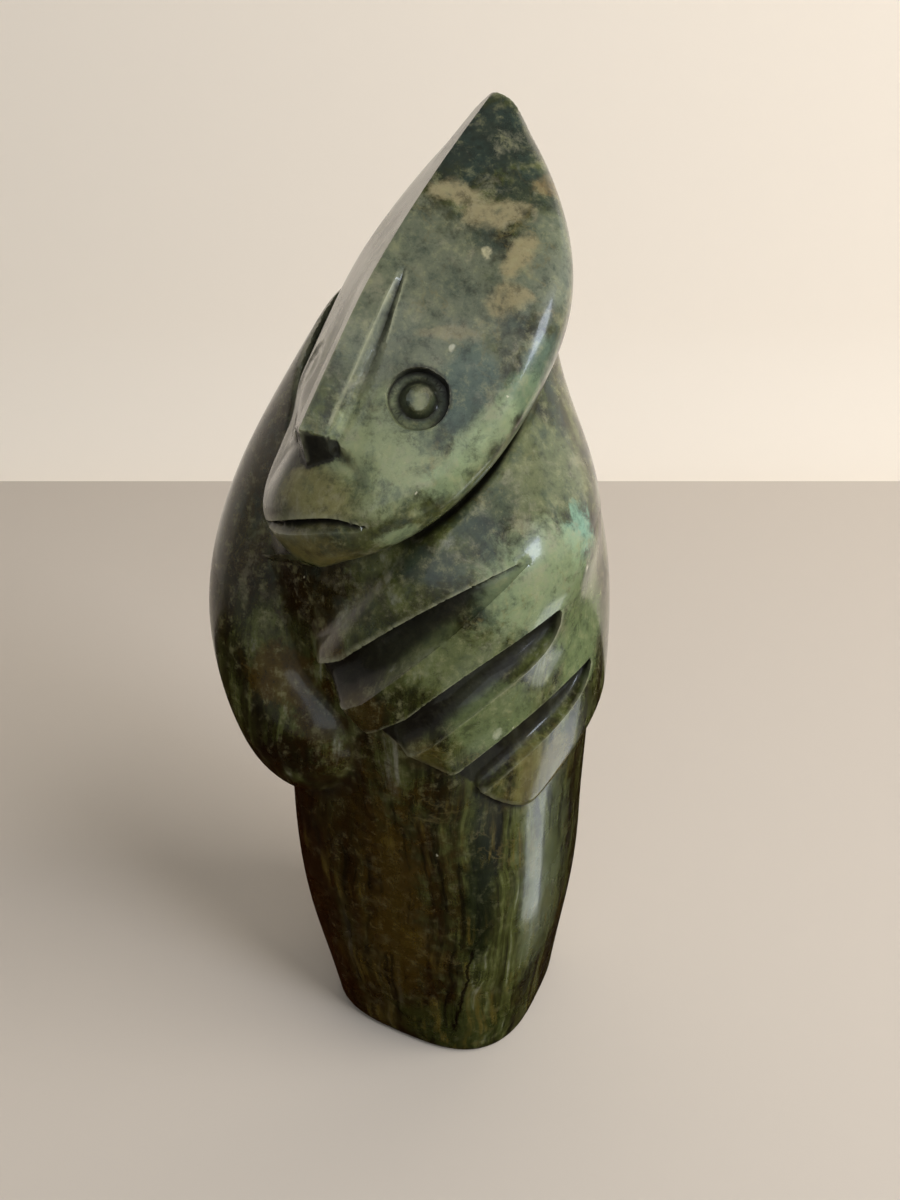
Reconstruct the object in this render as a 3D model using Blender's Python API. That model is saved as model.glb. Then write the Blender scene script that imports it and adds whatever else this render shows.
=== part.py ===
"""Abstract standing figure hugging itself, carved from one block of polished green stone.

The carving is described as a solid: masses that swell and shift with the height are joined with
fillets, the folded face and its leaf-shaped block are cut against each other, and the grooves are
cut in. Its skin is then found on a grid, keeping the crisp edges of the ridge, nose and fingers.
"""

import bpy
import numpy as np

# ---------------------------------------------------------------- sizes, in millimetres
# The figure looks along -Y, its left hand is on +X and it stands on z = 0.

# Head: two flat faces folded along a ridge that leans back from the nose tip to the crown.
FACE_MIDDLE = 4.0
NOSE_TIP_Y, NOSE_TIP_Z = -54.7, 228.0
CROWN_Y, CROWN_Z = 15.3, 300.0
FOLD_HALF_ANGLE = 51.5
RIDGE_ROUNDING = 0.15
FACE_EDGE_ROUNDINGS, FACE_EDGE_SIDES = (0.5, 7.5), (3, 12)
FACE_JOIN_ROUNDINGS, FACE_JOIN_SIDES = (0.4, 4.4), (12, 24)
RIDGE_HEIGHTS = (205, 228, 240, 250, 258.7, 270, 284.6, 300, 312)
RIDGE_FRONTS = (-71, -54.7, -45.6, -37.9, -30.8, -19.8, -3.7, 15.3, 31)
# Front line of the cheeks, upper lip, mouth and chin, which sits behind the ridge line.
CHEEK_HEIGHTS = (178, 182, 186, 192, 198, 204, 210, 216, 220, 226, 232, 240, 250, 258)
CHEEK_FRONTS = (
    -26, -39, -47.5, -54.6, -58.6, -60, -58.6,
    -54.6, -51.2, -47.2, -44.3, -41.6, -36.3, -31,
)
MUZZLE_HEIGHTS = (180, 205, 216, 226, 236, 246, 254, 260, 320)
MUZZLE_ROUNDINGS = (26, 28, 26, 20, 14, 8, 3, 0.2, 0.2)
FLANK_HEIGHTS = (180, 205, 226, 240, 255, 300)
FLANK_ANGLES = (47, 47, 48.5, 50, 51.5, 51.5)
# Leaf-shaped outline: half width of the head at distances along the ridge from the nose tip.
LEAF_PLACES = (-33, -29, -21, -5, 16, 42, 68, 84, 93, 100, 105)
LEAF_HALVES = (2, 14, 23, 31, 36.8, 38.3, 33.5, 23.5, 15.4, 7.5, 0.5)
LEAF_LOW, LEAF_HIGH = -33.0, 102.6
LEAF_TIP_ROUNDING = 3.0
HEAD_DEPTH_SHARE = 0.68
HEAD_SET_BACK = 0.524
CHIN_LEAN = 0.8
# Above the nose tip the rounded cheeks sink behind the flat faces.
CHEEK_SINK, CHEEK_SINK_HEIGHTS = 6.0, (226, 244)
# These even out how fast the distance measures of the planes and of the block grow.
PLANE_PACE, BLOCK_PACE = 0.86, 1.15

# Nose: its edge beside the ridge, the groove along it, and the drop under it to the upper lip.
NOSE_EDGE = ((226, 263), (5.7, 4.9))
GROOVE_HEIGHTS = (226, 236, 244, 250, 258, 265)
GROOVE_DEPTHS = (0.5, 0.8, 1.2, 1.5, 1.2, 0.0)
FAR_GROOVE_DEPTHS = (3.0, 3.0, 1.2, 0.0, 0.0, 0.0)
GROOVE_WIDTHS = (3.0, 3.3, 3.4, 3.0, 2.1, 1.0)
GROOVE_FLOOR = 0.3
NOSE_STEP, NOSE_STEP_WIDTH = 1.1, 1.6
NOSE_STEP_FADE_SIDES, NOSE_STEP_FADE_HEIGHTS = (18, 7), (262, 236)
UNDER_NOSE_SIDES = (0, 5.7, 8.6, 12.1, 15.4, 19)
UNDER_NOSE_HEIGHTS = (228.2, 226.8, 224.6, 222.9, 221.0, 218.0)
UNDER_NOSE_STEEPNESS = ((8, 17), (0.67, 0.22))
UNDER_NOSE_BENDS = ((10, 18), (0.3, 14))
UPPER_FACE_END, UPPER_FACE_FALL, UPPER_FACE_BEND = 214.0, 0.3, 12.0
# Mouth slit and ring-cut eyes.
LIP_ACROSS = (-20, -8, -2, 6, 13, 19)
LIP_HEIGHTS = (199.3, 203.5, 205.7, 207.9, 208.9, 208.0)
MOUTH_MIDDLE, MOUTH_HALF, MOUTH_HEIGHT, MOUTH_DEPTH = 3.2, 17.0, 4.2, 1.8
MOUTH_FLOOR = 0.25
FAR_CHEEK_DEPTH, FAR_CHEEK_HEIGHTS, FAR_CHEEK_SIDES = 2.4, (201, 217, 220, 233), (6, 20)
EYE_PLACE = (19.9, -33.6, 235.0)
FAR_EYE_PLACE, FAR_EYE_SHARE = (22.0, -31.8, 235.8), 0.12
EYE_FACING = (0.67, -0.78, 0.47)
EYE_BOSS, EYE_BOSS_FOOT, EYE_OUTER = 2.5, 5.0, 7.8
EYE_DEPTH, EYE_TILT, EYE_WOBBLE = 2.9, 0.5, 0.018
EYE_DEEP_SIDE, EYE_WALL, EYE_REACH = (0.6, 0.8), 0.6, 12.0

# Trunk, lower body and arms: level sections whose centre and half width follow the height.
BODY_SQUARENESS = 2.3
TRUNK_LOW, TRUNK_HIGH = 40.0, 264.0
TRUNK_X = ((40, 125, 194, 266), (0, -1.7, -7.3, -7.1))
TRUNK_Y = ((40, 125, 161, 215, 266), (3, 0, 1.2, 2.2, 11.0))
TRUNK_HALF = ((40, 125, 161, 194, 215, 235, 266), (50, 52.6, 53.7, 52.2, 47.1, 39.5, 42))
FOOT_X, FOOT_Y, FOOT_TOP = 0.4, 2.7, 150.0
FOOT_TURN, FOOT_SQUARENESS, FOOT_LEAN = 16.3, 3.0, (-0.019, -0.018)
FOOT_EDGE_ROUNDING = 3.0
FOOT_HALF = ((0, 22, 47, 83, 110, 140), (37.3, 40.3, 43.8, 45.4, 43.9, 40))
RIGHT_ARM_LOW, RIGHT_ARM_HIGH = 107.0, 264.0
RIGHT_ARM_HEIGHTS = (105, 134, 162, 203, 244, 264)
RIGHT_ARM_X = (-14, -24.5, -34.4, -35.9, -23.8, -20)
RIGHT_ARM_Y = (-41, -36, -29, -12, 3, 8)
RIGHT_ARM_HALF = (33.2, 29.2, 26.8, 24.9, 24.8, 26)
FOREARM_CENTRE, FOREARM_HALVES, FOREARM_FILLET = (-11, -40, 131), (22, 19, 18.5), 8.0
RIGHT_ARM_FILLETS = ((120, 165), (1.5, 6))
LEFT_ARM_LOW, LEFT_ARM_HIGH = 100.0, 250.0
LEFT_ARM_HEIGHTS = (100, 135, 150, 170, 195, 222, 250)
LEFT_ARM_X = (-8, -4, 8, 19.6, 26.6, 15.6, 12.8)
LEFT_ARM_Y = (-31, -30, -28, -18, -4, 10, 16)
LEFT_ARM_HALF = (27, 27, 26, 25.3, 23.8, 17.5, 16.8)
HAND_THICKNESS, ARM_FILLET, HIP_FILLET = 7.0, 18.0, 10.0
HAND_EDGE_ROUNDING, HAND_TOP_ROUNDING, HAND_EDGE_FILLET = 3.0, 8.0, 1.0
# Round the neck a groove parts the head from the body in front, and a fillet joins them behind.
NECK_DEPTH, NECK_FLOOR_FILLET, COLLAR_ROUNDING = 4.5, 2.0, 2.2
NECK_FILLETS = (0.3, 9.3)
NECK_SMOOTH_FROM, NECK_SMOOTH_TO = 12.0, 38.0

# The hand lies on a slanting view across the chest: distances are along that slant and up, and its
# thickness and its cuts die away towards the back.
HAND_SLANT = 42.0
HAND_THICKNESS_FADE, CUTS_FADE = (22, -14), (10, -10)
FINGERTIP_PACE, HAND_TOP_FRONT = 0.8, 20.0
FINGER_CUTS = (
    # open end (across, up), closed end (across, up), bow, width, depth, bluntness of the closed end
    ((-25.8, 165.3), (24.0, 195.0), 3.3, 10.5, 6.5, 2.2),
    ((-8.2, 153.2), (33.0, 178.0), 2.8, 12.2, 6.8, 9.0),
    ((6.0, 132.5), (45.0, 152.5), 2.6, 10.8, 6.4, 8.0),
)
CUT_WALL, CUT_HOLLOW, CUT_END_SHARPNESS = 0.7, 3, 0.5
CUT_OPENING, CUT_UNDER_HAND, CUT_LAST_FADE = (-0.5, -0.3), (0.02, 0.3), (1.0, 0.97)
FINGERTIPS_ACROSS = (-44, -36, -27, -18, -6, 6, 18, 30, 46)
FINGERTIPS_UP = (176, 162.5, 152.5, 144.5, 136.5, 128.5, 117.5, 110, 107)
LAST_FINGER_LINE = (0.62, -0.785, 70.6)
FIRST_FINGER_LINE = (-0.77, 0.64, -132.5)

# ---------------------------------------------------------------- curves and joints

def curve(places, values):
    """Natural cubic spline: a smooth line through the values at the given places."""
    knots = np.array(places, float)
    heights = np.array(values, float)
    gap = np.diff(knots)
    count = len(knots)
    steepness = np.diff(heights) / gap
    matrix = np.eye(count)
    right = np.zeros(count)
    for i in range(1, count - 1):
        matrix[i, i - 1:i + 2] = gap[i - 1], 2 * (gap[i - 1] + gap[i]), gap[i]
        right[i] = 6 * (steepness[i] - steepness[i - 1])
    bend = np.linalg.solve(matrix, right)

    def value(at):
        at = np.clip(at, knots[0], knots[-1])
        i = np.clip(np.searchsorted(knots, at) - 1, 0, count - 2)
        d = at - knots[i]
        slope = steepness[i] - gap[i] * (2 * bend[i] + bend[i + 1]) / 6
        growth = (bend[i + 1] - bend[i]) / (6 * gap[i])
        return heights[i] + d * (slope + d * (bend[i] / 2 + d * growth))
    return value


def join(a, b, fillet):
    """Union of two masses, with a fillet where they meet."""
    mix = np.clip(0.5 + 0.5 * (b - a) / fillet, 0, 1)
    return b + (a - b) * mix - fillet * mix * (1 - mix)


def cut(a, b, rounding):
    """Common part of two masses, with the edge between them rounded."""
    return -join(-a, -b, rounding)


def ramp(value, start, end):
    """0 before start, 1 after end, and an S-shaped rise between."""
    t = np.clip((value - start) / (end - start), 0, 1)
    return t * t * (3 - 2 * t)


def blend(ends, share):
    """Value that goes from the first end to the second as the share goes from 0 to 1."""
    return ends[0] + (ends[1] - ends[0]) * share


def fold(across, width):
    """Distance from a fold line, with the fold rounded over the width on each side."""
    across = np.abs(across)
    return np.where(across < width, (across * across / width + width) / 2, across)


def mass(x, y, z, low, high, centre_x, centre_y, half):
    """Rounded block: a superellipsoid whose level sections shift and swell with the height."""
    width = half(z)
    tall = (high - low) / 2
    u = np.abs(x - centre_x(z)) / width
    v = np.abs(y - centre_y(z)) / width
    w = np.abs(z - (high + low) / 2) / tall
    power = BODY_SQUARENESS
    size = (u ** power + v ** power + w ** power) ** (1 / power) + 1e-9
    rises = [(share ** (power - 1) / reach) ** 2 for share, reach in ((u, width), (v, width), (w, tall))]
    return (size - 1) / (np.sqrt(sum(rises)) * size ** (1 - power) + 1e-6)


def oval(x, y, z, centre, halves):
    """Ellipsoid of the given centre and half sizes."""
    u, v, w = ((value - mid) / half for value, mid, half in zip((x, y, z), centre, halves))
    size = np.sqrt(u * u + v * v + w * w) + 1e-9
    rise = np.sqrt((u / halves[0]) ** 2 + (v / halves[1]) ** 2 + (w / halves[2]) ** 2) / size
    return (size - 1) / (rise + 1e-6)


# ---------------------------------------------------------------- head

LEAN = np.arctan2(CROWN_Y - NOSE_TIP_Y, CROWN_Z - NOSE_TIP_Z)
FOLD = np.radians(FOLD_HALF_ANGLE)
RIDGE_FRONT = curve(RIDGE_HEIGHTS, RIDGE_FRONTS)
CHEEK_FRONT = curve(CHEEK_HEIGHTS, CHEEK_FRONTS)
MUZZLE_ROUNDING = curve(MUZZLE_HEIGHTS, MUZZLE_ROUNDINGS)
FLANK_ANGLE = curve(FLANK_HEIGHTS, FLANK_ANGLES)
LEAF_HALF = curve(LEAF_PLACES, LEAF_HALVES)
UPPER_LIP = curve(LIP_ACROSS, LIP_HEIGHTS)


def leaf_block(side, y, z):
    """Leaf-shaped block behind the face: half ellipses across an axis that leans with the ridge."""
    dy, dz = y - NOSE_TIP_Y, z - NOSE_TIP_Z
    up = dy * np.sin(LEAN) + dz * np.cos(LEAN)
    out = dz * np.sin(LEAN) - dy * np.cos(LEAN)
    half = np.maximum(LEAF_HALF(up), 0.5)
    depth = HEAD_DEPTH_SHARE * half
    across = (side / (half + 0.5)) ** 2
    through = ((out + HEAD_SET_BACK * half) / (depth + 0.5)) ** 2
    round_block = (np.sqrt(across + through) - 1) * depth * BLOCK_PACE
    return cut(round_block, np.maximum(up - LEAF_HIGH, LEAF_LOW - up), LEAF_TIP_ROUNDING)


def ridge_planes(x, y, z):
    """The two flat faces folded along the crisp ridge."""
    low_ridge = NOSE_TIP_Y - (NOSE_TIP_Z - z) * CHIN_LEAN
    ridge = np.where(z < NOSE_TIP_Z, low_ridge, RIDGE_FRONT(z))
    return ridge, (fold(x, RIDGE_ROUNDING) * np.cos(FOLD) - (y - ridge) * np.sin(FOLD)) * PLANE_PACE


def soft_face(x, y, z, ridge, planes):
    """Cheeks, lip and chin: the same fold with a wide rounding, behind the ridge line."""
    width = np.maximum(MUZZLE_ROUNDING(z), RIDGE_ROUNDING)
    angle = np.radians(FLANK_ANGLE(z))
    top = CHEEK_HEIGHTS[-1]
    line = np.where(z > top, ridge, np.maximum(CHEEK_FRONT(np.minimum(z, top)), ridge))
    apex = line - width / 2 / np.tan(angle)
    soft = (fold(x, width) * np.cos(angle) - (y - apex) * np.sin(angle)) * PLANE_PACE
    return np.maximum(soft, planes)


def bend(value, width):
    """0 below 0 and the value itself above, with the corner rounded over the width."""
    corner = (value + width / 2) ** 2 / (2 * width)
    return np.where(np.abs(value) < width / 2, corner, np.maximum(value, 0))


def trough(share, floor):
    """V-shaped dip across a width: 0 at both ends, 1 where the share of the width reaches the floor."""
    return np.clip(np.minimum(share / floor, (1 - share) / (1 - floor)), 0, 1)


def nose_relief(x, side, z):
    """Depth below the nose's own planes: a step beside the nose, a V-groove and the drop under it."""
    out = side - np.interp(z, *NOSE_EDGE)
    near, far = (np.interp(z, GROOVE_HEIGHTS, deep) for deep in (GROOVE_DEPTHS, FAR_GROOVE_DEPTHS))
    width = np.interp(z, GROOVE_HEIGHTS, GROOVE_WIDTHS)
    groove = np.where(x > 0, near, far) * trough(out / width, GROOVE_FLOOR)
    fading = ramp(side, *NOSE_STEP_FADE_SIDES) * ramp(z, *NOSE_STEP_FADE_HEIGHTS)
    step = NOSE_STEP * np.clip(out / NOSE_STEP_WIDTH, 0, 1) * fading
    height = np.interp(side, UNDER_NOSE_SIDES, UNDER_NOSE_HEIGHTS)
    drop = bend(height - z, np.interp(side, *UNDER_NOSE_BENDS))
    under = np.interp(side, *UNDER_NOSE_STEEPNESS) * drop
    return groove + step + under + UPPER_FACE_FALL * bend(UPPER_FACE_END - z, UPPER_FACE_BEND)


def mouth(x, z):
    """Depth of the mouth: a thin lens-shaped slit, steep at its upper edge."""
    lens = np.sqrt(np.clip(1 - ((x - MOUTH_MIDDLE) / MOUTH_HALF) ** 2, 0, 1))
    below = (UPPER_LIP(x) - z) / (MOUTH_HEIGHT * lens + 0.01)
    return MOUTH_DEPTH * lens * trough(below, MOUTH_FLOOR)


def eye_ring(x, side, y, z):
    """Depth of the round cut about the flat boss of each eye, deepest at its upper outer wall."""
    facing = np.array(EYE_FACING) / np.linalg.norm(EYE_FACING)
    dx, dy, dz = (value - np.where(x > 0, near, far)
                  for value, near, far in zip((side, y, z), EYE_PLACE, FAR_EYE_PLACE))
    along = dx * facing[0] + dy * facing[1] + dz * facing[2]
    radius = np.sqrt(np.maximum(dx * dx + dy * dy + dz * dz - along * along, 0))
    turn = np.arctan2(dz, dx)
    radius = radius * (1 + EYE_WOBBLE * (np.cos(3 * turn + 1) + 0.6 * np.cos(5 * turn)))
    high = (EYE_DEEP_SIDE[0] * dx + EYE_DEEP_SIDE[1] * dz) / EYE_OUTER
    deep = EYE_DEPTH * (1 + EYE_TILT * high) * ramp(radius, EYE_BOSS, EYE_BOSS_FOOT)
    deep = deep * np.where(x > 0, 1, FAR_EYE_SHARE)
    return deep * np.clip((EYE_OUTER - radius) / EYE_WALL, 0, 1) * (np.abs(along) < EYE_REACH)


def head(x, y, z):
    """The whole head, symmetric about the plane of the ridge."""
    x = x - FACE_MIDDLE
    side = np.abs(x)
    front = y < 0
    block = leaf_block(side, y, z)
    ridge, planes = ridge_planes(x, y, z)
    muzzle = soft_face(x, y, z, ridge, planes) + CHEEK_SINK * ramp(z, *CHEEK_SINK_HEIGHTS)
    at_join = blend(FACE_JOIN_ROUNDINGS, ramp(side, *FACE_JOIN_SIDES))
    at_edge = blend(FACE_EDGE_ROUNDINGS, ramp(side, *FACE_EDGE_SIDES))
    face = cut(join(muzzle, planes + nose_relief(x, side, z) * front, at_join), block, at_edge)
    low, full, fading, end = FAR_CHEEK_HEIGHTS
    flatter = FAR_CHEEK_DEPTH * ramp(-x, *FAR_CHEEK_SIDES)
    flatter = flatter * ramp(z, low, full) * ramp(z, end, fading)
    return face + (flatter + mouth(x, z) + eye_ring(x, side, y, z)) * front


# ---------------------------------------------------------------- body

TRUNK_PATH = (curve(*TRUNK_X), curve(*TRUNK_Y), curve(*TRUNK_HALF))
FOOT_WIDTH = curve(*FOOT_HALF)
FINGERTIP_HEIGHT = curve(FINGERTIPS_ACROSS, FINGERTIPS_UP)
RIGHT_ARM_PATH = [curve(RIGHT_ARM_HEIGHTS, run) for run in (RIGHT_ARM_X, RIGHT_ARM_Y, RIGHT_ARM_HALF)]
LEFT_ARM_PATH = [curve(LEFT_ARM_HEIGHTS, run) for run in (LEFT_ARM_X, LEFT_ARM_Y, LEFT_ARM_HALF)]


def lower_body(x, y, z):
    """Rounded-square column, turned a little about the upright, that swells from the flat foot."""
    half = FOOT_WIDTH(z)
    turn = np.radians(FOOT_TURN)
    dx = x - FOOT_X - FOOT_LEAN[0] * z
    dy = y - FOOT_Y - FOOT_LEAN[1] * z
    along = np.abs(dx * np.cos(turn) + dy * np.sin(turn)) / half
    across = np.abs(dy * np.cos(turn) - dx * np.sin(turn)) / half
    size = (along ** FOOT_SQUARENESS + across ** FOOT_SQUARENESS) ** (1 / FOOT_SQUARENESS)
    return cut((size - 1) * half, np.maximum(-z, z - FOOT_TOP), FOOT_EDGE_ROUNDING)


def finger_cuts(across, up):
    """Depth of the cuts between the fingers, in the hand and in what lies under it.

    Each has a steep wall under one finger and a hollow that rises to the next finger.
    """
    in_hand = 0.0
    under_hand = 0.0
    for (x0, z0), (x1, z1), bow, width, deep, bluntness in FINGER_CUTS:
        length = np.hypot(x1 - x0, z1 - z0)
        step_x, step_z = (x1 - x0) / length, (z1 - z0) / length
        along = ((across - x0) * step_x + (up - z0) * step_z) / length
        taper = np.clip(along, 0, 1)
        bowed = bow * 4 * taper * (1 - along) * (along < 1)
        below = (across - x0) * step_z - (up - z0) * step_x + bowed
        share = np.clip(below / (width * (1 - taper ** bluntness) + 0.01), 0, 1)
        wall = np.clip(1 + below / CUT_WALL, 0, 1)
        depth = deep * (1 - taper ** (bluntness + CUT_END_SHARPNESS)) * (1 - share ** CUT_HOLLOW) * wall
        depth = depth * ramp(along, *CUT_LAST_FADE)
        in_hand = np.maximum(in_hand, depth * ramp(along, *CUT_OPENING))
        under_hand = np.maximum(under_hand, 2 * depth * ramp(along, *CUT_UNDER_HAND))
    return in_hand, under_hand


def hand(x, y, z, trunk, across, depth, cuts):
    """Left arm and hand: the trunk's skin with the arm's swell, trimmed and cut into fingers."""
    def beyond(line):
        return line[0] * across + line[1] * z + line[2]

    arm = join(trunk, mass(x, y, z, LEFT_ARM_LOW, LEFT_ARM_HIGH, *LEFT_ARM_PATH), ARM_FILLET)
    arm = arm + cuts
    arm = cut(arm, (FINGERTIP_HEIGHT(across) - z) * FINGERTIP_PACE, HAND_EDGE_ROUNDING)
    arm = cut(arm, beyond(LAST_FINGER_LINE), HAND_EDGE_ROUNDING)
    shoulder = np.maximum(depth + HAND_TOP_FRONT, 0)
    return cut(arm, beyond(FIRST_FINGER_LINE) - shoulder, HAND_TOP_ROUNDING)


def figure(x, y, z):
    """The whole carving: less than nought inside the stone, more than nought outside."""
    slant = np.radians(HAND_SLANT)
    across = np.cos(slant) * x + np.sin(slant) * y
    depth = np.cos(slant) * y - np.sin(slant) * x
    trunk = mass(x, y, z, TRUNK_LOW, TRUNK_HIGH, *TRUNK_PATH)
    under = HAND_THICKNESS * ramp(depth, *HAND_THICKNESS_FADE)
    body = join(lower_body(x, y, z), trunk + under, HIP_FILLET)
    in_hand, under_hand = (deep * ramp(depth, *CUTS_FADE) for deep in finger_cuts(across, z))
    right_arm = mass(x, y, z, RIGHT_ARM_LOW, RIGHT_ARM_HIGH, *RIGHT_ARM_PATH)
    right_arm = join(right_arm, oval(x, y, z, FOREARM_CENTRE, FOREARM_HALVES), FOREARM_FILLET)
    body = join(body, right_arm, np.interp(z, *RIGHT_ARM_FILLETS)) + under_hand
    body = join(body, hand(x, y, z, trunk, across, depth, in_hand), HAND_EDGE_FILLET)
    face = head(x, y, z)
    behind = ramp(y, NECK_SMOOTH_FROM, NECK_SMOOTH_TO)
    body = cut(body, NECK_GROOVE * (1 - 2 * behind) - face, COLLAR_ROUNDING)
    body = join(body, trunk + NECK_DEPTH, NECK_FLOOR_FILLET)
    return join(body, face, blend(NECK_FILLETS, behind))


# ---------------------------------------------------------------- skin of the carving

BLOCK, BATCH = 8, 400
BISECTIONS, FLATNESS = 12, 0.06
# How many half diagonals away, and how much more, the skin may seem for a block still to be searched.
SEARCH_REACH, SEARCH_SLACK = 1.4, 2.0
ROUND = ((0, 0), (1, 0), (1, 1), (0, 1))


def grid_places(low, high, spacing):
    """Places from low to past high, a whole number of blocks of boxes, spaced by spacing(place)."""
    places = [low]
    while places[-1] < high or (len(places) - 1) % BLOCK:
        places.append(places[-1] + spacing(places[-1]))
    return np.array(places)


def boxes_at_surface(lines):
    """Grid boxes that the surface passes through, with which of their eight corners lie inside."""
    ends = [(line[:-1:BLOCK], line[BLOCK::BLOCK]) for line in lines]
    mids = np.meshgrid(*[(low + high) / 2 for low, high in ends], indexing="ij")
    halves = np.meshgrid(*[(high - low) / 2 for low, high in ends], indexing="ij")
    reach = SEARCH_REACH * np.sqrt(sum(half ** 2 for half in halves)) + SEARCH_SLACK
    blocks = np.argwhere(np.abs(figure(*mids)) < reach) * BLOCK
    whole = np.zeros((1, BLOCK + 1, BLOCK + 1, BLOCK + 1))
    boxes = []
    corners = []
    for start in range(0, len(blocks), BATCH):
        some = blocks[start:start + BATCH]
        x, y, z = (lines[axis][some[:, axis, None] + np.arange(BLOCK + 1)] for axis in range(3))
        places = (x[:, :, None, None], y[:, None, :, None], z[:, None, None, :])
        inside = figure(*(place + whole for place in places)) < 0
        eight = np.stack([inside[:, i:BLOCK + i, j:BLOCK + j, k:BLOCK + k]
                          for i in (0, 1) for j in (0, 1) for k in (0, 1)], axis=-1)
        mixed = np.argwhere(eight.any(-1) & ~eight.all(-1))
        boxes.append(some[mixed[:, 0]] + mixed[:, 1:])
        corners.append(eight[tuple(mixed.T)])
    return np.concatenate(boxes), np.concatenate(corners)


def box_edges():
    """The twelve edges of a box, four round each axis: their axis, low corner and high corner."""
    axis = np.repeat(np.arange(3), 4)
    low = np.zeros((12, 3), int)
    for edge in range(12):
        low[edge, (axis[edge] + 1) % 3], low[edge, (axis[edge] + 2) % 3] = ROUND[edge % 4]
    return axis, low, low + np.eye(3, dtype=int)[axis]


def patch_labels(corners, crossed, axis, low):
    """Give the crossed edges of a box one label per sheet of skin, followed from face to face."""
    label = np.where(crossed, np.arange(12), 99)
    for normal, side in [(n, s) for _ in range(4) for n in range(3) for s in (0, 1)]:
        ring_corners = np.zeros((4, 3), int)
        ring_corners[:, normal] = side
        ring_corners[:, (normal + 1) % 3], ring_corners[:, (normal + 2) % 3] = np.array(ROUND).T
        following = np.roll(ring_corners, -1, axis=0)
        start = np.minimum(ring_corners, following)
        way = np.argmax(ring_corners != following, axis=1)
        ring = [int(np.argmax((low == start[i]).all(1) & (axis == way[i]))) for i in range(4)]
        count = crossed[:, ring].sum(1)
        least = label[:, ring].min(1)
        for edge in ring:
            label[:, edge] = np.where((count == 2) & crossed[:, edge], least, label[:, edge])
        for i in range(4):
            lone = (count == 4) & corners[:, ring_corners[i] @ (4, 2, 1)]
            least = np.minimum(label[:, ring[i - 1]], label[:, ring[i]])
            for edge in (ring[i - 1], ring[i]):
                label[:, edge] = np.where(lone, least, label[:, edge])
    return label


def surface_normals(point, step=0.02):
    """Outward directions of the carving's surface at the points."""
    rise = [figure(*(point + move).T) - figure(*(point - move).T) for move in np.eye(3) * step]
    rise = np.stack(rise, -1)
    return rise / (np.linalg.norm(rise, axis=1, keepdims=True) + 1e-12)


def crossing_points(lines, start, axis, start_inside):
    """Where the surface crosses each grid edge, found by halving."""
    near = np.stack([lines[a][start[:, a]] for a in range(3)], -1)
    far = np.stack([lines[a][start[:, a] + (axis == a)] for a in range(3)], -1)
    for _ in range(BISECTIONS):
        middle = (near + far) / 2
        same = ((figure(*middle.T) < 0) == start_inside)[:, None]
        near, far = np.where(same, middle, near), np.where(same, far, middle)
    return (near + far) / 2


def sheet_points(point, normal, sheet, low, high):
    """One point per sheet: nearest to all the tangent planes at its crossings, kept in its box."""
    total = len(low)

    def gather(weight):
        return np.bincount(sheet, weight, total)

    share = gather(np.ones(len(sheet)))
    mean = np.stack([gather(point[:, a]) for a in range(3)], -1) / share[:, None]
    offset = ((point - mean[sheet]) * normal).sum(1)
    pairs = [gather(normal[:, i] * normal[:, j]) for i in range(3) for j in range(3)]
    matrix = np.stack(pairs, -1).reshape(-1, 3, 3)
    right = np.stack([gather(normal[:, i] * offset) for i in range(3)], -1)
    strength, direction = np.linalg.eigh(matrix)
    weight = np.where(strength > FLATNESS * strength[:, -1:], 1 / np.maximum(strength, 1e-9), 0)
    along = weight * (direction * right[:, :, None]).sum(1)
    return np.clip(mean + (direction * along[:, None, :]).sum(2), low, high)


def outer_skin(vertices, faces):
    """The largest joined-up skin: a pocket shut in at the bottom of a narrow cut is left solid."""
    label = np.arange(len(vertices))
    changed = True
    while changed:
        lower = label.copy()
        np.minimum.at(lower, faces.ravel(), np.repeat(label[faces].min(1), 4))
        lower = lower[lower]
        changed = bool((lower != label).any())
        label = lower
    kept = label == np.argmax(np.bincount(label))
    number = np.cumsum(kept) - 1
    return vertices[kept], number[faces[kept[faces[:, 0]]]]


def skin(lines):
    """Closed skin of the carving: a point for each sheet in each box, a face for each crossed edge."""
    boxes, corners = boxes_at_surface(lines)
    axis, low, high = box_edges()
    low_inside = corners[:, low @ (4, 2, 1)]
    crossed = low_inside != corners[:, high @ (4, 2, 1)]
    label = patch_labels(corners, crossed, axis, low)
    box, edge = np.nonzero(crossed)
    start = boxes[box] + low[edge]
    rows = [len(line) + 1 for line in lines]
    key = ((start[:, 0] * rows[1] + start[:, 1]) * rows[2] + start[:, 2]) * 3 + axis[edge]
    key, first, edge_number = np.unique(key, return_index=True, return_inverse=True)
    inside = low_inside[box[first], edge[first]]
    point = crossing_points(lines, start[first], axis[edge[first]], inside)
    normal = surface_normals(point)
    sheet_key, sheet = np.unique(box * 12 + label[box, edge], return_inverse=True)
    owner = boxes[sheet_key // 12]
    box_low = np.stack([lines[a][owner[:, a]] for a in range(3)], -1)
    box_high = np.stack([lines[a][owner[:, a] + 1] for a in range(3)], -1)
    vertices = sheet_points(point[edge_number], normal[edge_number], sheet, box_low, box_high)
    faces = np.zeros((len(key), 4), int)
    faces[edge_number, edge % 4] = sheet
    return outer_skin(vertices, np.where(inside[:, None], faces, faces[:, ::-1]))


# ---------------------------------------------------------------- the object

MILLIMETRE = 0.001
BLOCK_LOW, BLOCK_HIGH = (-72.4, -72.6, -4.0), (62.0, 66.0, 306.0)
FINE_GRID, PLAIN_GRID = 1.6, 3.0
DETAIL_FROM, DETAIL_BEHIND = 105.0, 30.0
TRIANGLES = 9600
NECK_GROOVE = 3.2
STONE_COLOUR = (0.045, 0.062, 0.031, 1.0)
STONE_ROUGHNESS = 0.24


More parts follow.
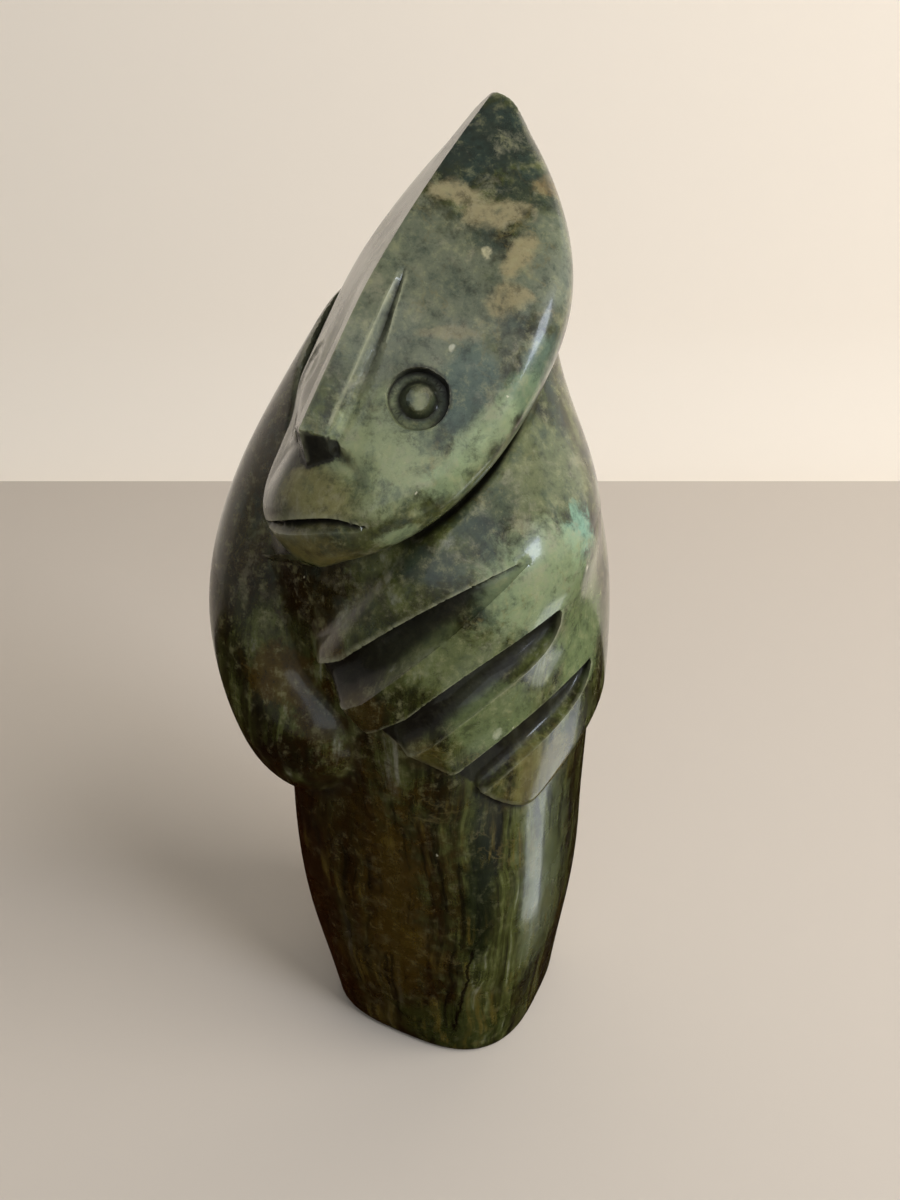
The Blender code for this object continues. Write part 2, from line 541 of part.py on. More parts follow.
def grid_lines():
    """Fine boxes over the head, arms and hand, plain ones over the back and lower body."""
    sizes = (
        lambda x: FINE_GRID,
        lambda y: FINE_GRID if y < DETAIL_BEHIND else PLAIN_GRID,
        lambda z: FINE_GRID if z > DETAIL_FROM else PLAIN_GRID,
    )
    return [grid_places(low, high, size) for low, high, size in zip(BLOCK_LOW, BLOCK_HIGH, sizes)]


def stone():
    """Dark green serpentine with a wax polish."""
    material = bpy.data.materials.new("polished_serpentine")
    material.use_nodes = True
    shader = material.node_tree.nodes["Principled BSDF"]
    shader.inputs["Base Color"].default_value = STONE_COLOUR
    shader.inputs["Roughness"].default_value = STONE_ROUGHNESS
    shader.inputs["Metallic"].default_value = 0.0
    return material


def build():
    """Make the figure, standing on z = 0 with the middle of its outline over the origin."""
    for item in list(bpy.data.objects):
        bpy.data.objects.remove(item)
    vertices, faces = skin(grid_lines())
    vertices[:, 2] = np.maximum(vertices[:, 2], 0)
    vertices[:, :2] -= (vertices[:, :2].min(0) + vertices[:, :2].max(0)) / 2
    mesh = bpy.data.meshes.new("stone_figure")
    mesh.from_pydata((vertices * MILLIMETRE).tolist(), [], faces.tolist())
    mesh.shade_smooth()
    mesh.materials.append(stone())
    figure_object = bpy.data.objects.new("stone_figure", mesh)
    bpy.context.scene.collection.objects.link(figure_object)
    fewer = figure_object.modifiers.new("fewer_faces", "DECIMATE")
    fewer.ratio = TRIANGLES / (2 * len(faces))


build()
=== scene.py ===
"""Looks of the standing stone figure that hugs itself, on a pale studio floor.

The carving is one body of polished serpentine. Its masses, folded face and cuts melt into each
other with fillets, which no single grid of two parameters can follow, so it is described as a solid
(less than nought inside) and its skin is found on a grid of boxes, as whole arrays.
"""

import bpy
import numpy as np
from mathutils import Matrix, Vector


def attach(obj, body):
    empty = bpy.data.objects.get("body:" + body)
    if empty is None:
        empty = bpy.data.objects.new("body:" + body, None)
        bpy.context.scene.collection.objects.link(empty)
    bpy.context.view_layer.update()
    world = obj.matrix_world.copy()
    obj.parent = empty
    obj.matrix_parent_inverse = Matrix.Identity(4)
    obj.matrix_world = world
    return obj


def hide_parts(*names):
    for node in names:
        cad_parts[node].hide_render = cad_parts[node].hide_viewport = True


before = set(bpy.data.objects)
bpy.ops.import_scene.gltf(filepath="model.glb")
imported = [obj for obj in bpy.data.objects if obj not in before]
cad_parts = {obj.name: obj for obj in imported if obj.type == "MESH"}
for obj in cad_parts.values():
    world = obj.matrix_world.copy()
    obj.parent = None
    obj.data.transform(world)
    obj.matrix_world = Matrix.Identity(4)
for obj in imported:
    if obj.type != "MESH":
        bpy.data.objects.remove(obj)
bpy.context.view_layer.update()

# ---------------------------------------------------------------- sizes, in millimetres
# The figure looks along -Y, its left hand is on +X and it stands on z = 0.

# Head: two flat faces folded along a ridge that leans back from the nose tip to the crown.
FACE_MIDDLE = 4.0
NOSE_TIP_Y, NOSE_TIP_Z = -54.7, 228.0
CROWN_Y, CROWN_Z = 15.3, 300.0
FOLD_HALF_ANGLE = 51.5
RIDGE_ROUNDING = 0.15
FACE_EDGE_ROUNDINGS, FACE_EDGE_SIDES = (0.5, 7.5), (3, 12)
FACE_JOIN_ROUNDINGS, FACE_JOIN_SIDES = (0.4, 4.4), (12, 24)
RIDGE_HEIGHTS = (205, 228, 240, 250, 258.7, 270, 284.6, 300, 312)
RIDGE_FRONTS = (-71, -54.7, -45.6, -37.9, -30.8, -19.8, -3.7, 15.3, 31)
# Front line of the cheeks, upper lip, mouth and chin, which sits behind the ridge line.
CHEEK_HEIGHTS = (178, 182, 186, 192, 198, 204, 210, 216, 220, 226, 232, 240, 250, 258)
CHEEK_FRONTS = (
    -26, -39, -47.5, -54.6, -58.6, -60, -58.6,
    -54.6, -51.2, -47.2, -44.3, -41.6, -36.3, -31,
)
MUZZLE_HEIGHTS = (180, 205, 216, 226, 236, 246, 254, 260, 320)
MUZZLE_ROUNDINGS = (26, 28, 26, 20, 14, 8, 3, 0.2, 0.2)
FLANK_HEIGHTS = (180, 205, 226, 240, 255, 300)
FLANK_ANGLES = (47, 47, 48.5, 50, 51.5, 51.5)
# Leaf-shaped outline: half width of the head at distances along the ridge from the nose tip.
LEAF_PLACES = (-33, -29, -21, -5, 16, 42, 68, 84, 93, 100, 105)
LEAF_HALVES = (2, 14, 23, 31, 36.8, 38.3, 33.5, 23.5, 15.4, 7.5, 0.5)
LEAF_LOW, LEAF_HIGH = -33.0, 102.6
LEAF_TIP_ROUNDING = 3.0
HEAD_DEPTH_SHARE = 0.68
HEAD_SET_BACK = 0.524
CHIN_LEAN = 0.8
# Above the nose tip the rounded cheeks sink behind the flat faces.
CHEEK_SINK, CHEEK_SINK_HEIGHTS = 6.0, (226, 244)
# These even out how fast the distance measures of the planes and of the block grow.
PLANE_PACE, BLOCK_PACE = 0.86, 1.15

# Nose: its edge beside the ridge, the groove along it, and the drop under it to the upper lip.
NOSE_EDGE = ((226, 263), (5.7, 4.9))
GROOVE_HEIGHTS = (226, 236, 244, 250, 258, 265)
GROOVE_DEPTHS = (0.5, 0.8, 1.2, 1.5, 1.2, 0.0)
FAR_GROOVE_DEPTHS = (3.0, 3.0, 1.2, 0.0, 0.0, 0.0)
GROOVE_WIDTHS = (3.0, 3.3, 3.4, 3.0, 2.1, 1.0)
GROOVE_FLOOR = 0.3
NOSE_STEP, NOSE_STEP_WIDTH = 1.1, 1.6
NOSE_STEP_FADE_SIDES, NOSE_STEP_FADE_HEIGHTS = (18, 7), (262, 236)
UNDER_NOSE_SIDES = (0, 5.7, 8.6, 12.1, 15.4, 19)
UNDER_NOSE_HEIGHTS = (228.2, 226.8, 224.6, 222.9, 221.0, 218.0)
UNDER_NOSE_STEEPNESS = ((8, 17), (0.67, 0.22))
UNDER_NOSE_BENDS = ((10, 18), (0.3, 14))
UPPER_FACE_END, UPPER_FACE_FALL, UPPER_FACE_BEND = 214.0, 0.3, 12.0
# Mouth slit and ring-cut eyes.
LIP_ACROSS = (-20, -8, -2, 6, 13, 19)
LIP_HEIGHTS = (199.3, 203.5, 205.7, 207.9, 208.9, 208.0)
MOUTH_MIDDLE, MOUTH_HALF, MOUTH_HEIGHT, MOUTH_DEPTH = 3.2, 17.0, 4.2, 1.8
MOUTH_FLOOR = 0.25
FAR_CHEEK_DEPTH, FAR_CHEEK_HEIGHTS, FAR_CHEEK_SIDES = 2.4, (201, 217, 220, 233), (6, 20)
EYE_PLACE = (19.9, -33.6, 235.0)
FAR_EYE_PLACE, FAR_EYE_SHARE = (22.0, -31.8, 235.8), 0.12
EYE_FACING = (0.67, -0.78, 0.47)
EYE_BOSS, EYE_BOSS_FOOT, EYE_OUTER = 2.5, 5.0, 7.8
EYE_DEPTH, EYE_TILT, EYE_WOBBLE = 2.9, 0.5, 0.018
EYE_DEEP_SIDE, EYE_WALL, EYE_REACH = (0.6, 0.8), 0.6, 12.0

# Trunk, lower body and arms: level sections whose centre and half width follow the height.
BODY_SQUARENESS = 2.3
TRUNK_LOW, TRUNK_HIGH = 40.0, 264.0
TRUNK_X = ((40, 125, 194, 266), (0, -1.7, -7.3, -7.1))
TRUNK_Y = ((40, 125, 161, 215, 266), (3, 0, 1.2, 2.2, 11.0))
TRUNK_HALF = ((40, 125, 161, 194, 215, 235, 266), (50, 52.6, 53.7, 52.2, 47.1, 39.5, 42))
FOOT_X, FOOT_Y, FOOT_TOP = 0.4, 2.7, 150.0
FOOT_TURN, FOOT_SQUARENESS, FOOT_LEAN = 16.3, 3.0, (-0.019, -0.018)
FOOT_EDGE_ROUNDING = 3.0
FOOT_HALF = ((0, 22, 47, 83, 110, 140), (37.3, 40.3, 43.8, 45.4, 43.9, 40))
RIGHT_ARM_LOW, RIGHT_ARM_HIGH = 107.0, 264.0
RIGHT_ARM_HEIGHTS = (105, 134, 162, 203, 244, 264)
RIGHT_ARM_X = (-14, -24.5, -34.4, -35.9, -23.8, -20)
RIGHT_ARM_Y = (-41, -36, -29, -12, 3, 8)
RIGHT_ARM_HALF = (33.2, 29.2, 26.8, 24.9, 24.8, 26)
FOREARM_CENTRE, FOREARM_HALVES, FOREARM_FILLET = (-11, -40, 131), (22, 19, 18.5), 8.0
RIGHT_ARM_FILLETS = ((120, 165), (1.5, 6))
LEFT_ARM_LOW, LEFT_ARM_HIGH = 100.0, 250.0
LEFT_ARM_HEIGHTS = (100, 135, 150, 170, 195, 222, 250)
LEFT_ARM_X = (-8, -4, 8, 19.6, 26.6, 15.6, 12.8)
LEFT_ARM_Y = (-31, -30, -28, -18, -4, 10, 16)
LEFT_ARM_HALF = (27, 27, 26, 25.3, 23.8, 17.5, 16.8)
HAND_THICKNESS, ARM_FILLET, HIP_FILLET = 7.0, 18.0, 10.0
HAND_EDGE_ROUNDING, HAND_TOP_ROUNDING, HAND_EDGE_FILLET = 3.0, 8.0, 1.0
# Round the neck a groove parts the head from the body in front, and a fillet joins them behind.
NECK_DEPTH, NECK_FLOOR_FILLET, COLLAR_ROUNDING = 4.5, 2.0, 2.2
NECK_FILLETS = (0.3, 9.3)
NECK_SMOOTH_FROM, NECK_SMOOTH_TO = 12.0, 38.0

# The hand lies on a slanting view across the chest: distances are along that slant and up, and its
# thickness and its cuts die away towards the back.
HAND_SLANT = 42.0
HAND_THICKNESS_FADE, CUTS_FADE = (22, -14), (10, -10)
FINGERTIP_PACE, HAND_TOP_FRONT = 0.8, 20.0
FINGER_CUTS = (
    # open end (across, up), closed end (across, up), bow, width, depth, bluntness of the closed end
    ((-25.8, 165.3), (24.0, 195.0), 3.3, 10.5, 6.5, 2.2),
    ((-8.2, 153.2), (33.0, 178.0), 2.8, 12.2, 6.8, 9.0),
    ((6.0, 132.5), (45.0, 152.5), 2.6, 10.8, 6.4, 8.0),
)
CUT_WALL, CUT_HOLLOW, CUT_END_SHARPNESS = 0.7, 3, 0.5
CUT_OPENING, CUT_UNDER_HAND, CUT_LAST_FADE = (-0.5, -0.3), (0.02, 0.3), (1.0, 0.97)
FINGERTIPS_ACROSS = (-44, -36, -27, -18, -6, 6, 18, 30, 46)
FINGERTIPS_UP = (176, 162.5, 152.5, 144.5, 136.5, 128.5, 117.5, 110, 107)
LAST_FINGER_LINE = (0.62, -0.785, 70.6)
FIRST_FINGER_LINE = (-0.77, 0.64, -132.5)

# ---------------------------------------------------------------- curves and joints

def curve(places, values):
    """Natural cubic spline: a smooth line through the values at the given places."""
    knots = np.array(places, float)
    heights = np.array(values, float)
    gap = np.diff(knots)
    count = len(knots)
    steepness = np.diff(heights) / gap
    matrix = np.eye(count)
    right = np.zeros(count)
    for i in range(1, count - 1):
        matrix[i, i - 1:i + 2] = gap[i - 1], 2 * (gap[i - 1] + gap[i]), gap[i]
        right[i] = 6 * (steepness[i] - steepness[i - 1])
    bend = np.linalg.solve(matrix, right)

    def value(at):
        at = np.clip(at, knots[0], knots[-1])
        i = np.clip(np.searchsorted(knots, at) - 1, 0, count - 2)
        d = at - knots[i]
        slope = steepness[i] - gap[i] * (2 * bend[i] + bend[i + 1]) / 6
        growth = (bend[i + 1] - bend[i]) / (6 * gap[i])
        return heights[i] + d * (slope + d * (bend[i] / 2 + d * growth))
    return value


def join(a, b, fillet):
    """Union of two masses, with a fillet where they meet."""
    mix = np.clip(0.5 + 0.5 * (b - a) / fillet, 0, 1)
    return b + (a - b) * mix - fillet * mix * (1 - mix)


def cut(a, b, rounding):
    """Common part of two masses, with the edge between them rounded."""
    return -join(-a, -b, rounding)


def ramp(value, start, end):
    """0 before start, 1 after end, and an S-shaped rise between."""
    t = np.clip((value - start) / (end - start), 0, 1)
    return t * t * (3 - 2 * t)


def blend(ends, share):
    """Value that goes from the first end to the second as the share goes from 0 to 1."""
    return ends[0] + (ends[1] - ends[0]) * share


def fold(across, width):
    """Distance from a fold line, with the fold rounded over the width on each side."""
    across = np.abs(across)
    return np.where(across < width, (across * across / width + width) / 2, across)


def mass(x, y, z, low, high, centre_x, centre_y, half):
    """Rounded block: a superellipsoid whose level sections shift and swell with the height."""
    width = half(z)
    tall = (high - low) / 2
    u = np.abs(x - centre_x(z)) / width
    v = np.abs(y - centre_y(z)) / width
    w = np.abs(z - (high + low) / 2) / tall
    power = BODY_SQUARENESS
    size = (u ** power + v ** power + w ** power) ** (1 / power) + 1e-9
    shares = ((u, width), (v, width), (w, tall))
    rises = [(share ** (power - 1) / reach) ** 2 for share, reach in shares]
    return (size - 1) / (np.sqrt(sum(rises)) * size ** (1 - power) + 1e-6)


def oval(x, y, z, centre, halves):
    """Ellipsoid of the given centre and half sizes."""
    u, v, w = ((value - mid) / half for value, mid, half in zip((x, y, z), centre, halves))
    size = np.sqrt(u * u + v * v + w * w) + 1e-9
    rise = np.sqrt((u / halves[0]) ** 2 + (v / halves[1]) ** 2 + (w / halves[2]) ** 2) / size
    return (size - 1) / (rise + 1e-6)


# ---------------------------------------------------------------- head

LEAN = np.arctan2(CROWN_Y - NOSE_TIP_Y, CROWN_Z - NOSE_TIP_Z)
FOLD = np.radians(FOLD_HALF_ANGLE)
RIDGE_FRONT = curve(RIDGE_HEIGHTS, RIDGE_FRONTS)
CHEEK_FRONT = curve(CHEEK_HEIGHTS, CHEEK_FRONTS)
MUZZLE_ROUNDING = curve(MUZZLE_HEIGHTS, MUZZLE_ROUNDINGS)
FLANK_ANGLE = curve(FLANK_HEIGHTS, FLANK_ANGLES)
LEAF_HALF = curve(LEAF_PLACES, LEAF_HALVES)
UPPER_LIP = curve(LIP_ACROSS, LIP_HEIGHTS)


def leaf_block(side, y, z):
    """Leaf-shaped block behind the face: half ellipses across an axis that leans with the ridge."""
    dy, dz = y - NOSE_TIP_Y, z - NOSE_TIP_Z
    up = dy * np.sin(LEAN) + dz * np.cos(LEAN)
    out = dz * np.sin(LEAN) - dy * np.cos(LEAN)
    half = np.maximum(LEAF_HALF(up), 0.5)
    depth = HEAD_DEPTH_SHARE * half
    across = (side / (half + 0.5)) ** 2
    through = ((out + HEAD_SET_BACK * half) / (depth + 0.5)) ** 2
    round_block = (np.sqrt(across + through) - 1) * depth * BLOCK_PACE
    return cut(round_block, np.maximum(up - LEAF_HIGH, LEAF_LOW - up), LEAF_TIP_ROUNDING)


def ridge_planes(x, y, z):
    """The two flat faces folded along the crisp ridge."""
    low_ridge = NOSE_TIP_Y - (NOSE_TIP_Z - z) * CHIN_LEAN
    ridge = np.where(z < NOSE_TIP_Z, low_ridge, RIDGE_FRONT(z))
    return ridge, (fold(x, RIDGE_ROUNDING) * np.cos(FOLD) - (y - ridge) * np.sin(FOLD)) * PLANE_PACE


def soft_face(x, y, z, ridge, planes):
    """Cheeks, lip and chin: the same fold with a wide rounding, behind the ridge line."""
    width = np.maximum(MUZZLE_ROUNDING(z), RIDGE_ROUNDING)
    angle = np.radians(FLANK_ANGLE(z))
    top = CHEEK_HEIGHTS[-1]
    line = np.where(z > top, ridge, np.maximum(CHEEK_FRONT(np.minimum(z, top)), ridge))
    apex = line - width / 2 / np.tan(angle)
    soft = (fold(x, width) * np.cos(angle) - (y - apex) * np.sin(angle)) * PLANE_PACE
    return np.maximum(soft, planes)


def bend(value, width):
    """0 below 0 and the value itself above, with the corner rounded over the width."""
    corner = (value + width / 2) ** 2 / (2 * width)
    return np.where(np.abs(value) < width / 2, corner, np.maximum(value, 0))


def trough(share, floor):
    """V-shaped dip across a width: 0 at both ends, 1 where the share of the width reaches the floor."""
    return np.clip(np.minimum(share / floor, (1 - share) / (1 - floor)), 0, 1)


def nose_relief(x, side, z):
    """Depth below the nose's own planes: a step beside the nose, a V-groove and the drop under it."""
    out = side - np.interp(z, *NOSE_EDGE)
    near, far = (np.interp(z, GROOVE_HEIGHTS, deep) for deep in (GROOVE_DEPTHS, FAR_GROOVE_DEPTHS))
    width = np.interp(z, GROOVE_HEIGHTS, GROOVE_WIDTHS)
    groove = np.where(x > 0, near, far) * trough(out / width, GROOVE_FLOOR)
    fading = ramp(side, *NOSE_STEP_FADE_SIDES) * ramp(z, *NOSE_STEP_FADE_HEIGHTS)
    step = NOSE_STEP * np.clip(out / NOSE_STEP_WIDTH, 0, 1) * fading
    height = np.interp(side, UNDER_NOSE_SIDES, UNDER_NOSE_HEIGHTS)
    drop = bend(height - z, np.interp(side, *UNDER_NOSE_BENDS))
    under = np.interp(side, *UNDER_NOSE_STEEPNESS) * drop
    return groove + step + under + UPPER_FACE_FALL * bend(UPPER_FACE_END - z, UPPER_FACE_BEND)


def mouth(x, z):
    """Depth of the mouth: a thin lens-shaped slit, steep at its upper edge."""
    lens = np.sqrt(np.clip(1 - ((x - MOUTH_MIDDLE) / MOUTH_HALF) ** 2, 0, 1))
    below = (UPPER_LIP(x) - z) / (MOUTH_HEIGHT * lens + 0.01)
    return MOUTH_DEPTH * lens * trough(below, MOUTH_FLOOR)


def eye_ring(x, side, y, z):
    """Depth of the round cut about the flat boss of each eye, deepest at its upper outer wall."""
    facing = np.array(EYE_FACING) / np.linalg.norm(EYE_FACING)
    dx, dy, dz = (value - np.where(x > 0, near, far)
                  for value, near, far in zip((side, y, z), EYE_PLACE, FAR_EYE_PLACE))
    along = dx * facing[0] + dy * facing[1] + dz * facing[2]
    radius = np.sqrt(np.maximum(dx * dx + dy * dy + dz * dz - along * along, 0))
    turn = np.arctan2(dz, dx)
    radius = radius * (1 + EYE_WOBBLE * (np.cos(3 * turn + 1) + 0.6 * np.cos(5 * turn)))
    high = (EYE_DEEP_SIDE[0] * dx + EYE_DEEP_SIDE[1] * dz) / EYE_OUTER
    deep = EYE_DEPTH * (1 + EYE_TILT * high) * ramp(radius, EYE_BOSS, EYE_BOSS_FOOT)
    deep = deep * np.where(x > 0, 1, FAR_EYE_SHARE)
    return deep * np.clip((EYE_OUTER - radius) / EYE_WALL, 0, 1) * (np.abs(along) < EYE_REACH)


def head(x, y, z):
    """The whole head, symmetric about the plane of the ridge."""
    x = x - FACE_MIDDLE
    side = np.abs(x)
    front = y < 0
    block = leaf_block(side, y, z)
    ridge, planes = ridge_planes(x, y, z)
    muzzle = soft_face(x, y, z, ridge, planes) + CHEEK_SINK * ramp(z, *CHEEK_SINK_HEIGHTS)
    at_join = blend(FACE_JOIN_ROUNDINGS, ramp(side, *FACE_JOIN_SIDES))
    at_edge = blend(FACE_EDGE_ROUNDINGS, ramp(side, *FACE_EDGE_SIDES))
    face = cut(join(muzzle, planes + nose_relief(x, side, z) * front, at_join), block, at_edge)
    low, full, fading, end = FAR_CHEEK_HEIGHTS
    flatter = FAR_CHEEK_DEPTH * ramp(-x, *FAR_CHEEK_SIDES)
    flatter = flatter * ramp(z, low, full) * ramp(z, end, fading)
    return face + (flatter + mouth(x, z) + eye_ring(x, side, y, z)) * front


# ---------------------------------------------------------------- body

TRUNK_PATH = (curve(*TRUNK_X), curve(*TRUNK_Y), curve(*TRUNK_HALF))
FOOT_WIDTH = curve(*FOOT_HALF)
FINGERTIP_HEIGHT = curve(FINGERTIPS_ACROSS, FINGERTIPS_UP)
RIGHT_ARM_PATH = [curve(RIGHT_ARM_HEIGHTS, run) for run in (RIGHT_ARM_X, RIGHT_ARM_Y, RIGHT_ARM_HALF)]
LEFT_ARM_PATH = [curve(LEFT_ARM_HEIGHTS, run) for run in (LEFT_ARM_X, LEFT_ARM_Y, LEFT_ARM_HALF)]


def lower_body(x, y, z):
    """Rounded-square column, turned a little about the upright, that swells from the flat foot."""
    half = FOOT_WIDTH(z)
    turn = np.radians(FOOT_TURN)
    dx = x - FOOT_X - FOOT_LEAN[0] * z
    dy = y - FOOT_Y - FOOT_LEAN[1] * z
    along = np.abs(dx * np.cos(turn) + dy * np.sin(turn)) / half
    across = np.abs(dy * np.cos(turn) - dx * np.sin(turn)) / half
    size = (along ** FOOT_SQUARENESS + across ** FOOT_SQUARENESS) ** (1 / FOOT_SQUARENESS)
    return cut((size - 1) * half, np.maximum(-z, z - FOOT_TOP), FOOT_EDGE_ROUNDING)


def finger_cuts(across, up):
    """Depth of the cuts between the fingers, in the hand and in what lies under it.

    Each has a steep wall under one finger and a hollow that rises to the next finger.
    """
    in_hand = 0.0
    under_hand = 0.0
    for (x0, z0), (x1, z1), bow, width, deep, bluntness in FINGER_CUTS:
        length = np.hypot(x1 - x0, z1 - z0)
        step_x, step_z = (x1 - x0) / length, (z1 - z0) / length
        along = ((across - x0) * step_x + (up - z0) * step_z) / length
        taper = np.clip(along, 0, 1)
        bowed = bow * 4 * taper * (1 - along) * (along < 1)
        below = (across - x0) * step_z - (up - z0) * step_x + bowed
        share = np.clip(below / (width * (1 - taper ** bluntness) + 0.01), 0, 1)
        wall = np.clip(1 + below / CUT_WALL, 0, 1)
        depth = deep * (1 - taper ** (bluntness + CUT_END_SHARPNESS)) * (1 - share ** CUT_HOLLOW) * wall
        depth = depth * ramp(along, *CUT_LAST_FADE)
        in_hand = np.maximum(in_hand, depth * ramp(along, *CUT_OPENING))
        under_hand = np.maximum(under_hand, 2 * depth * ramp(along, *CUT_UNDER_HAND))
    return in_hand, under_hand


def hand(x, y, z, trunk, across, depth, cuts):
    """Left arm and hand: the trunk's skin with the arm's swell, trimmed and cut into fingers."""
    def beyond(line):
        return line[0] * across + line[1] * z + line[2]

    arm = join(trunk, mass(x, y, z, LEFT_ARM_LOW, LEFT_ARM_HIGH, *LEFT_ARM_PATH), ARM_FILLET)
    arm = arm + cuts
    arm = cut(arm, (FINGERTIP_HEIGHT(across) - z) * FINGERTIP_PACE, HAND_EDGE_ROUNDING)
    arm = cut(arm, beyond(LAST_FINGER_LINE), HAND_EDGE_ROUNDING)
    shoulder = np.maximum(depth + HAND_TOP_FRONT, 0)
    return cut(arm, beyond(FIRST_FINGER_LINE) - shoulder, HAND_TOP_ROUNDING)


def figure(x, y, z):
    """The whole carving: less than nought inside the stone, more than nought outside."""
    slant = np.radians(HAND_SLANT)
    across = np.cos(slant) * x + np.sin(slant) * y
    depth = np.cos(slant) * y - np.sin(slant) * x
    trunk = mass(x, y, z, TRUNK_LOW, TRUNK_HIGH, *TRUNK_PATH)
    under = HAND_THICKNESS * ramp(depth, *HAND_THICKNESS_FADE)
    body = join(lower_body(x, y, z), trunk + under, HIP_FILLET)
    in_hand, under_hand = (deep * ramp(depth, *CUTS_FADE) for deep in finger_cuts(across, z))
    right_arm = mass(x, y, z, RIGHT_ARM_LOW, RIGHT_ARM_HIGH, *RIGHT_ARM_PATH)
    right_arm = join(right_arm, oval(x, y, z, FOREARM_CENTRE, FOREARM_HALVES), FOREARM_FILLET)
    body = join(body, right_arm, np.interp(z, *RIGHT_ARM_FILLETS)) + under_hand
    body = join(body, hand(x, y, z, trunk, across, depth, in_hand), HAND_EDGE_FILLET)
    face = head(x, y, z)
    behind = ramp(y, NECK_SMOOTH_FROM, NECK_SMOOTH_TO)
    body = cut(body, NECK_GROOVE * (1 - 2 * behind) - face, COLLAR_ROUNDING)
    body = join(body, trunk + NECK_DEPTH, NECK_FLOOR_FILLET)
    return join(body, face, blend(NECK_FILLETS, behind))


# ---------------------------------------------------------------- skin of the carving

BLOCK, BATCH = 8, 400
BISECTIONS, FLATNESS = 12, 0.06
# How many half diagonals away, and how much more, the skin may seem for a block still to be searched.
SEARCH_REACH, SEARCH_SLACK = 1.4, 2.0
ROUND = ((0, 0), (1, 0), (1, 1), (0, 1))


def grid_places(low, high, spacing):
    """Places from low to past high, a whole number of blocks of boxes, spaced by spacing(place)."""
    places = [low]
    while places[-1] < high or (len(places) - 1) % BLOCK:
        places.append(places[-1] + spacing(places[-1]))
    return np.array(places)


def boxes_at_surface(lines):
    """Grid boxes that the surface passes through, with which of their eight corners lie inside."""
    ends = [(line[:-1:BLOCK], line[BLOCK::BLOCK]) for line in lines]
    mids = np.meshgrid(*[(low + high) / 2 for low, high in ends], indexing="ij")
    halves = np.meshgrid(*[(high - low) / 2 for low, high in ends], indexing="ij")
    reach = SEARCH_REACH * np.sqrt(sum(half ** 2 for half in halves)) + SEARCH_SLACK
    blocks = np.argwhere(np.abs(figure(*mids)) < reach) * BLOCK
    whole = np.zeros((1, BLOCK + 1, BLOCK + 1, BLOCK + 1))
    boxes = []
    corners = []
    for start in range(0, len(blocks), BATCH):
        some = blocks[start:start + BATCH]
        x, y, z = (lines[axis][some[:, axis, None] + np.arange(BLOCK + 1)] for axis in range(3))
        places = (x[:, :, None, None], y[:, None, :, None], z[:, None, None, :])
        inside = figure(*(place + whole for place in places)) < 0
        eight = np.stack([inside[:, i:BLOCK + i, j:BLOCK + j, k:BLOCK + k]
                          for i in (0, 1) for j in (0, 1) for k in (0, 1)], axis=-1)
        mixed = np.argwhere(eight.any(-1) & ~eight.all(-1))
        boxes.append(some[mixed[:, 0]] + mixed[:, 1:])
        corners.append(eight[tuple(mixed.T)])
    return np.concatenate(boxes), np.concatenate(corners)


def box_edges():
    """The twelve edges of a box, four round each axis: their axis, low corner and high corner."""
    axis = np.repeat(np.arange(3), 4)
    low = np.zeros((12, 3), int)
    for edge in range(12):
        low[edge, (axis[edge] + 1) % 3], low[edge, (axis[edge] + 2) % 3] = ROUND[edge % 4]
    return axis, low, low + np.eye(3, dtype=int)[axis]


def patch_labels(corners, crossed, axis, low):
    """Give the crossed edges of a box one label per sheet of skin, followed from face to face."""
    label = np.where(crossed, np.arange(12), 99)
    for normal, side in [(n, s) for _ in range(4) for n in range(3) for s in (0, 1)]:
        ring_corners = np.zeros((4, 3), int)
        ring_corners[:, normal] = side
        ring_corners[:, (normal + 1) % 3], ring_corners[:, (normal + 2) % 3] = np.array(ROUND).T
        following = np.roll(ring_corners, -1, axis=0)
        start = np.minimum(ring_corners, following)
        way = np.argmax(ring_corners != following, axis=1)
        ring = [int(np.argmax((low == start[i]).all(1) & (axis == way[i]))) for i in range(4)]
        count = crossed[:, ring].sum(1)
        least = label[:, ring].min(1)
        for edge in ring:
            label[:, edge] = np.where((count == 2) & crossed[:, edge], least, label[:, edge])
        for i in range(4):
            lone = (count == 4) & corners[:, ring_corners[i] @ (4, 2, 1)]
            least = np.minimum(label[:, ring[i - 1]], label[:, ring[i]])
            for edge in (ring[i - 1], ring[i]):
                label[:, edge] = np.where(lone, least, label[:, edge])
    return label


def surface_normals(point, step=0.02):
    """Outward directions of the carving's surface at the points."""
    rise = [figure(*(point + move).T) - figure(*(point - move).T) for move in np.eye(3) * step]
    rise = np.stack(rise, -1)
    return rise / (np.linalg.norm(rise, axis=1, keepdims=True) + 1e-12)


def crossing_points(lines, start, axis, start_inside):
    """Where the surface crosses each grid edge, found by halving."""
    near = np.stack([lines[a][start[:, a]] for a in range(3)], -1)
    far = np.stack([lines[a][start[:, a] + (axis == a)] for a in range(3)], -1)
    for _ in range(BISECTIONS):
        middle = (near + far) / 2
        same = ((figure(*middle.T) < 0) == start_inside)[:, None]
        near, far = np.where(same, middle, near), np.where(same, far, middle)
    return (near + far) / 2


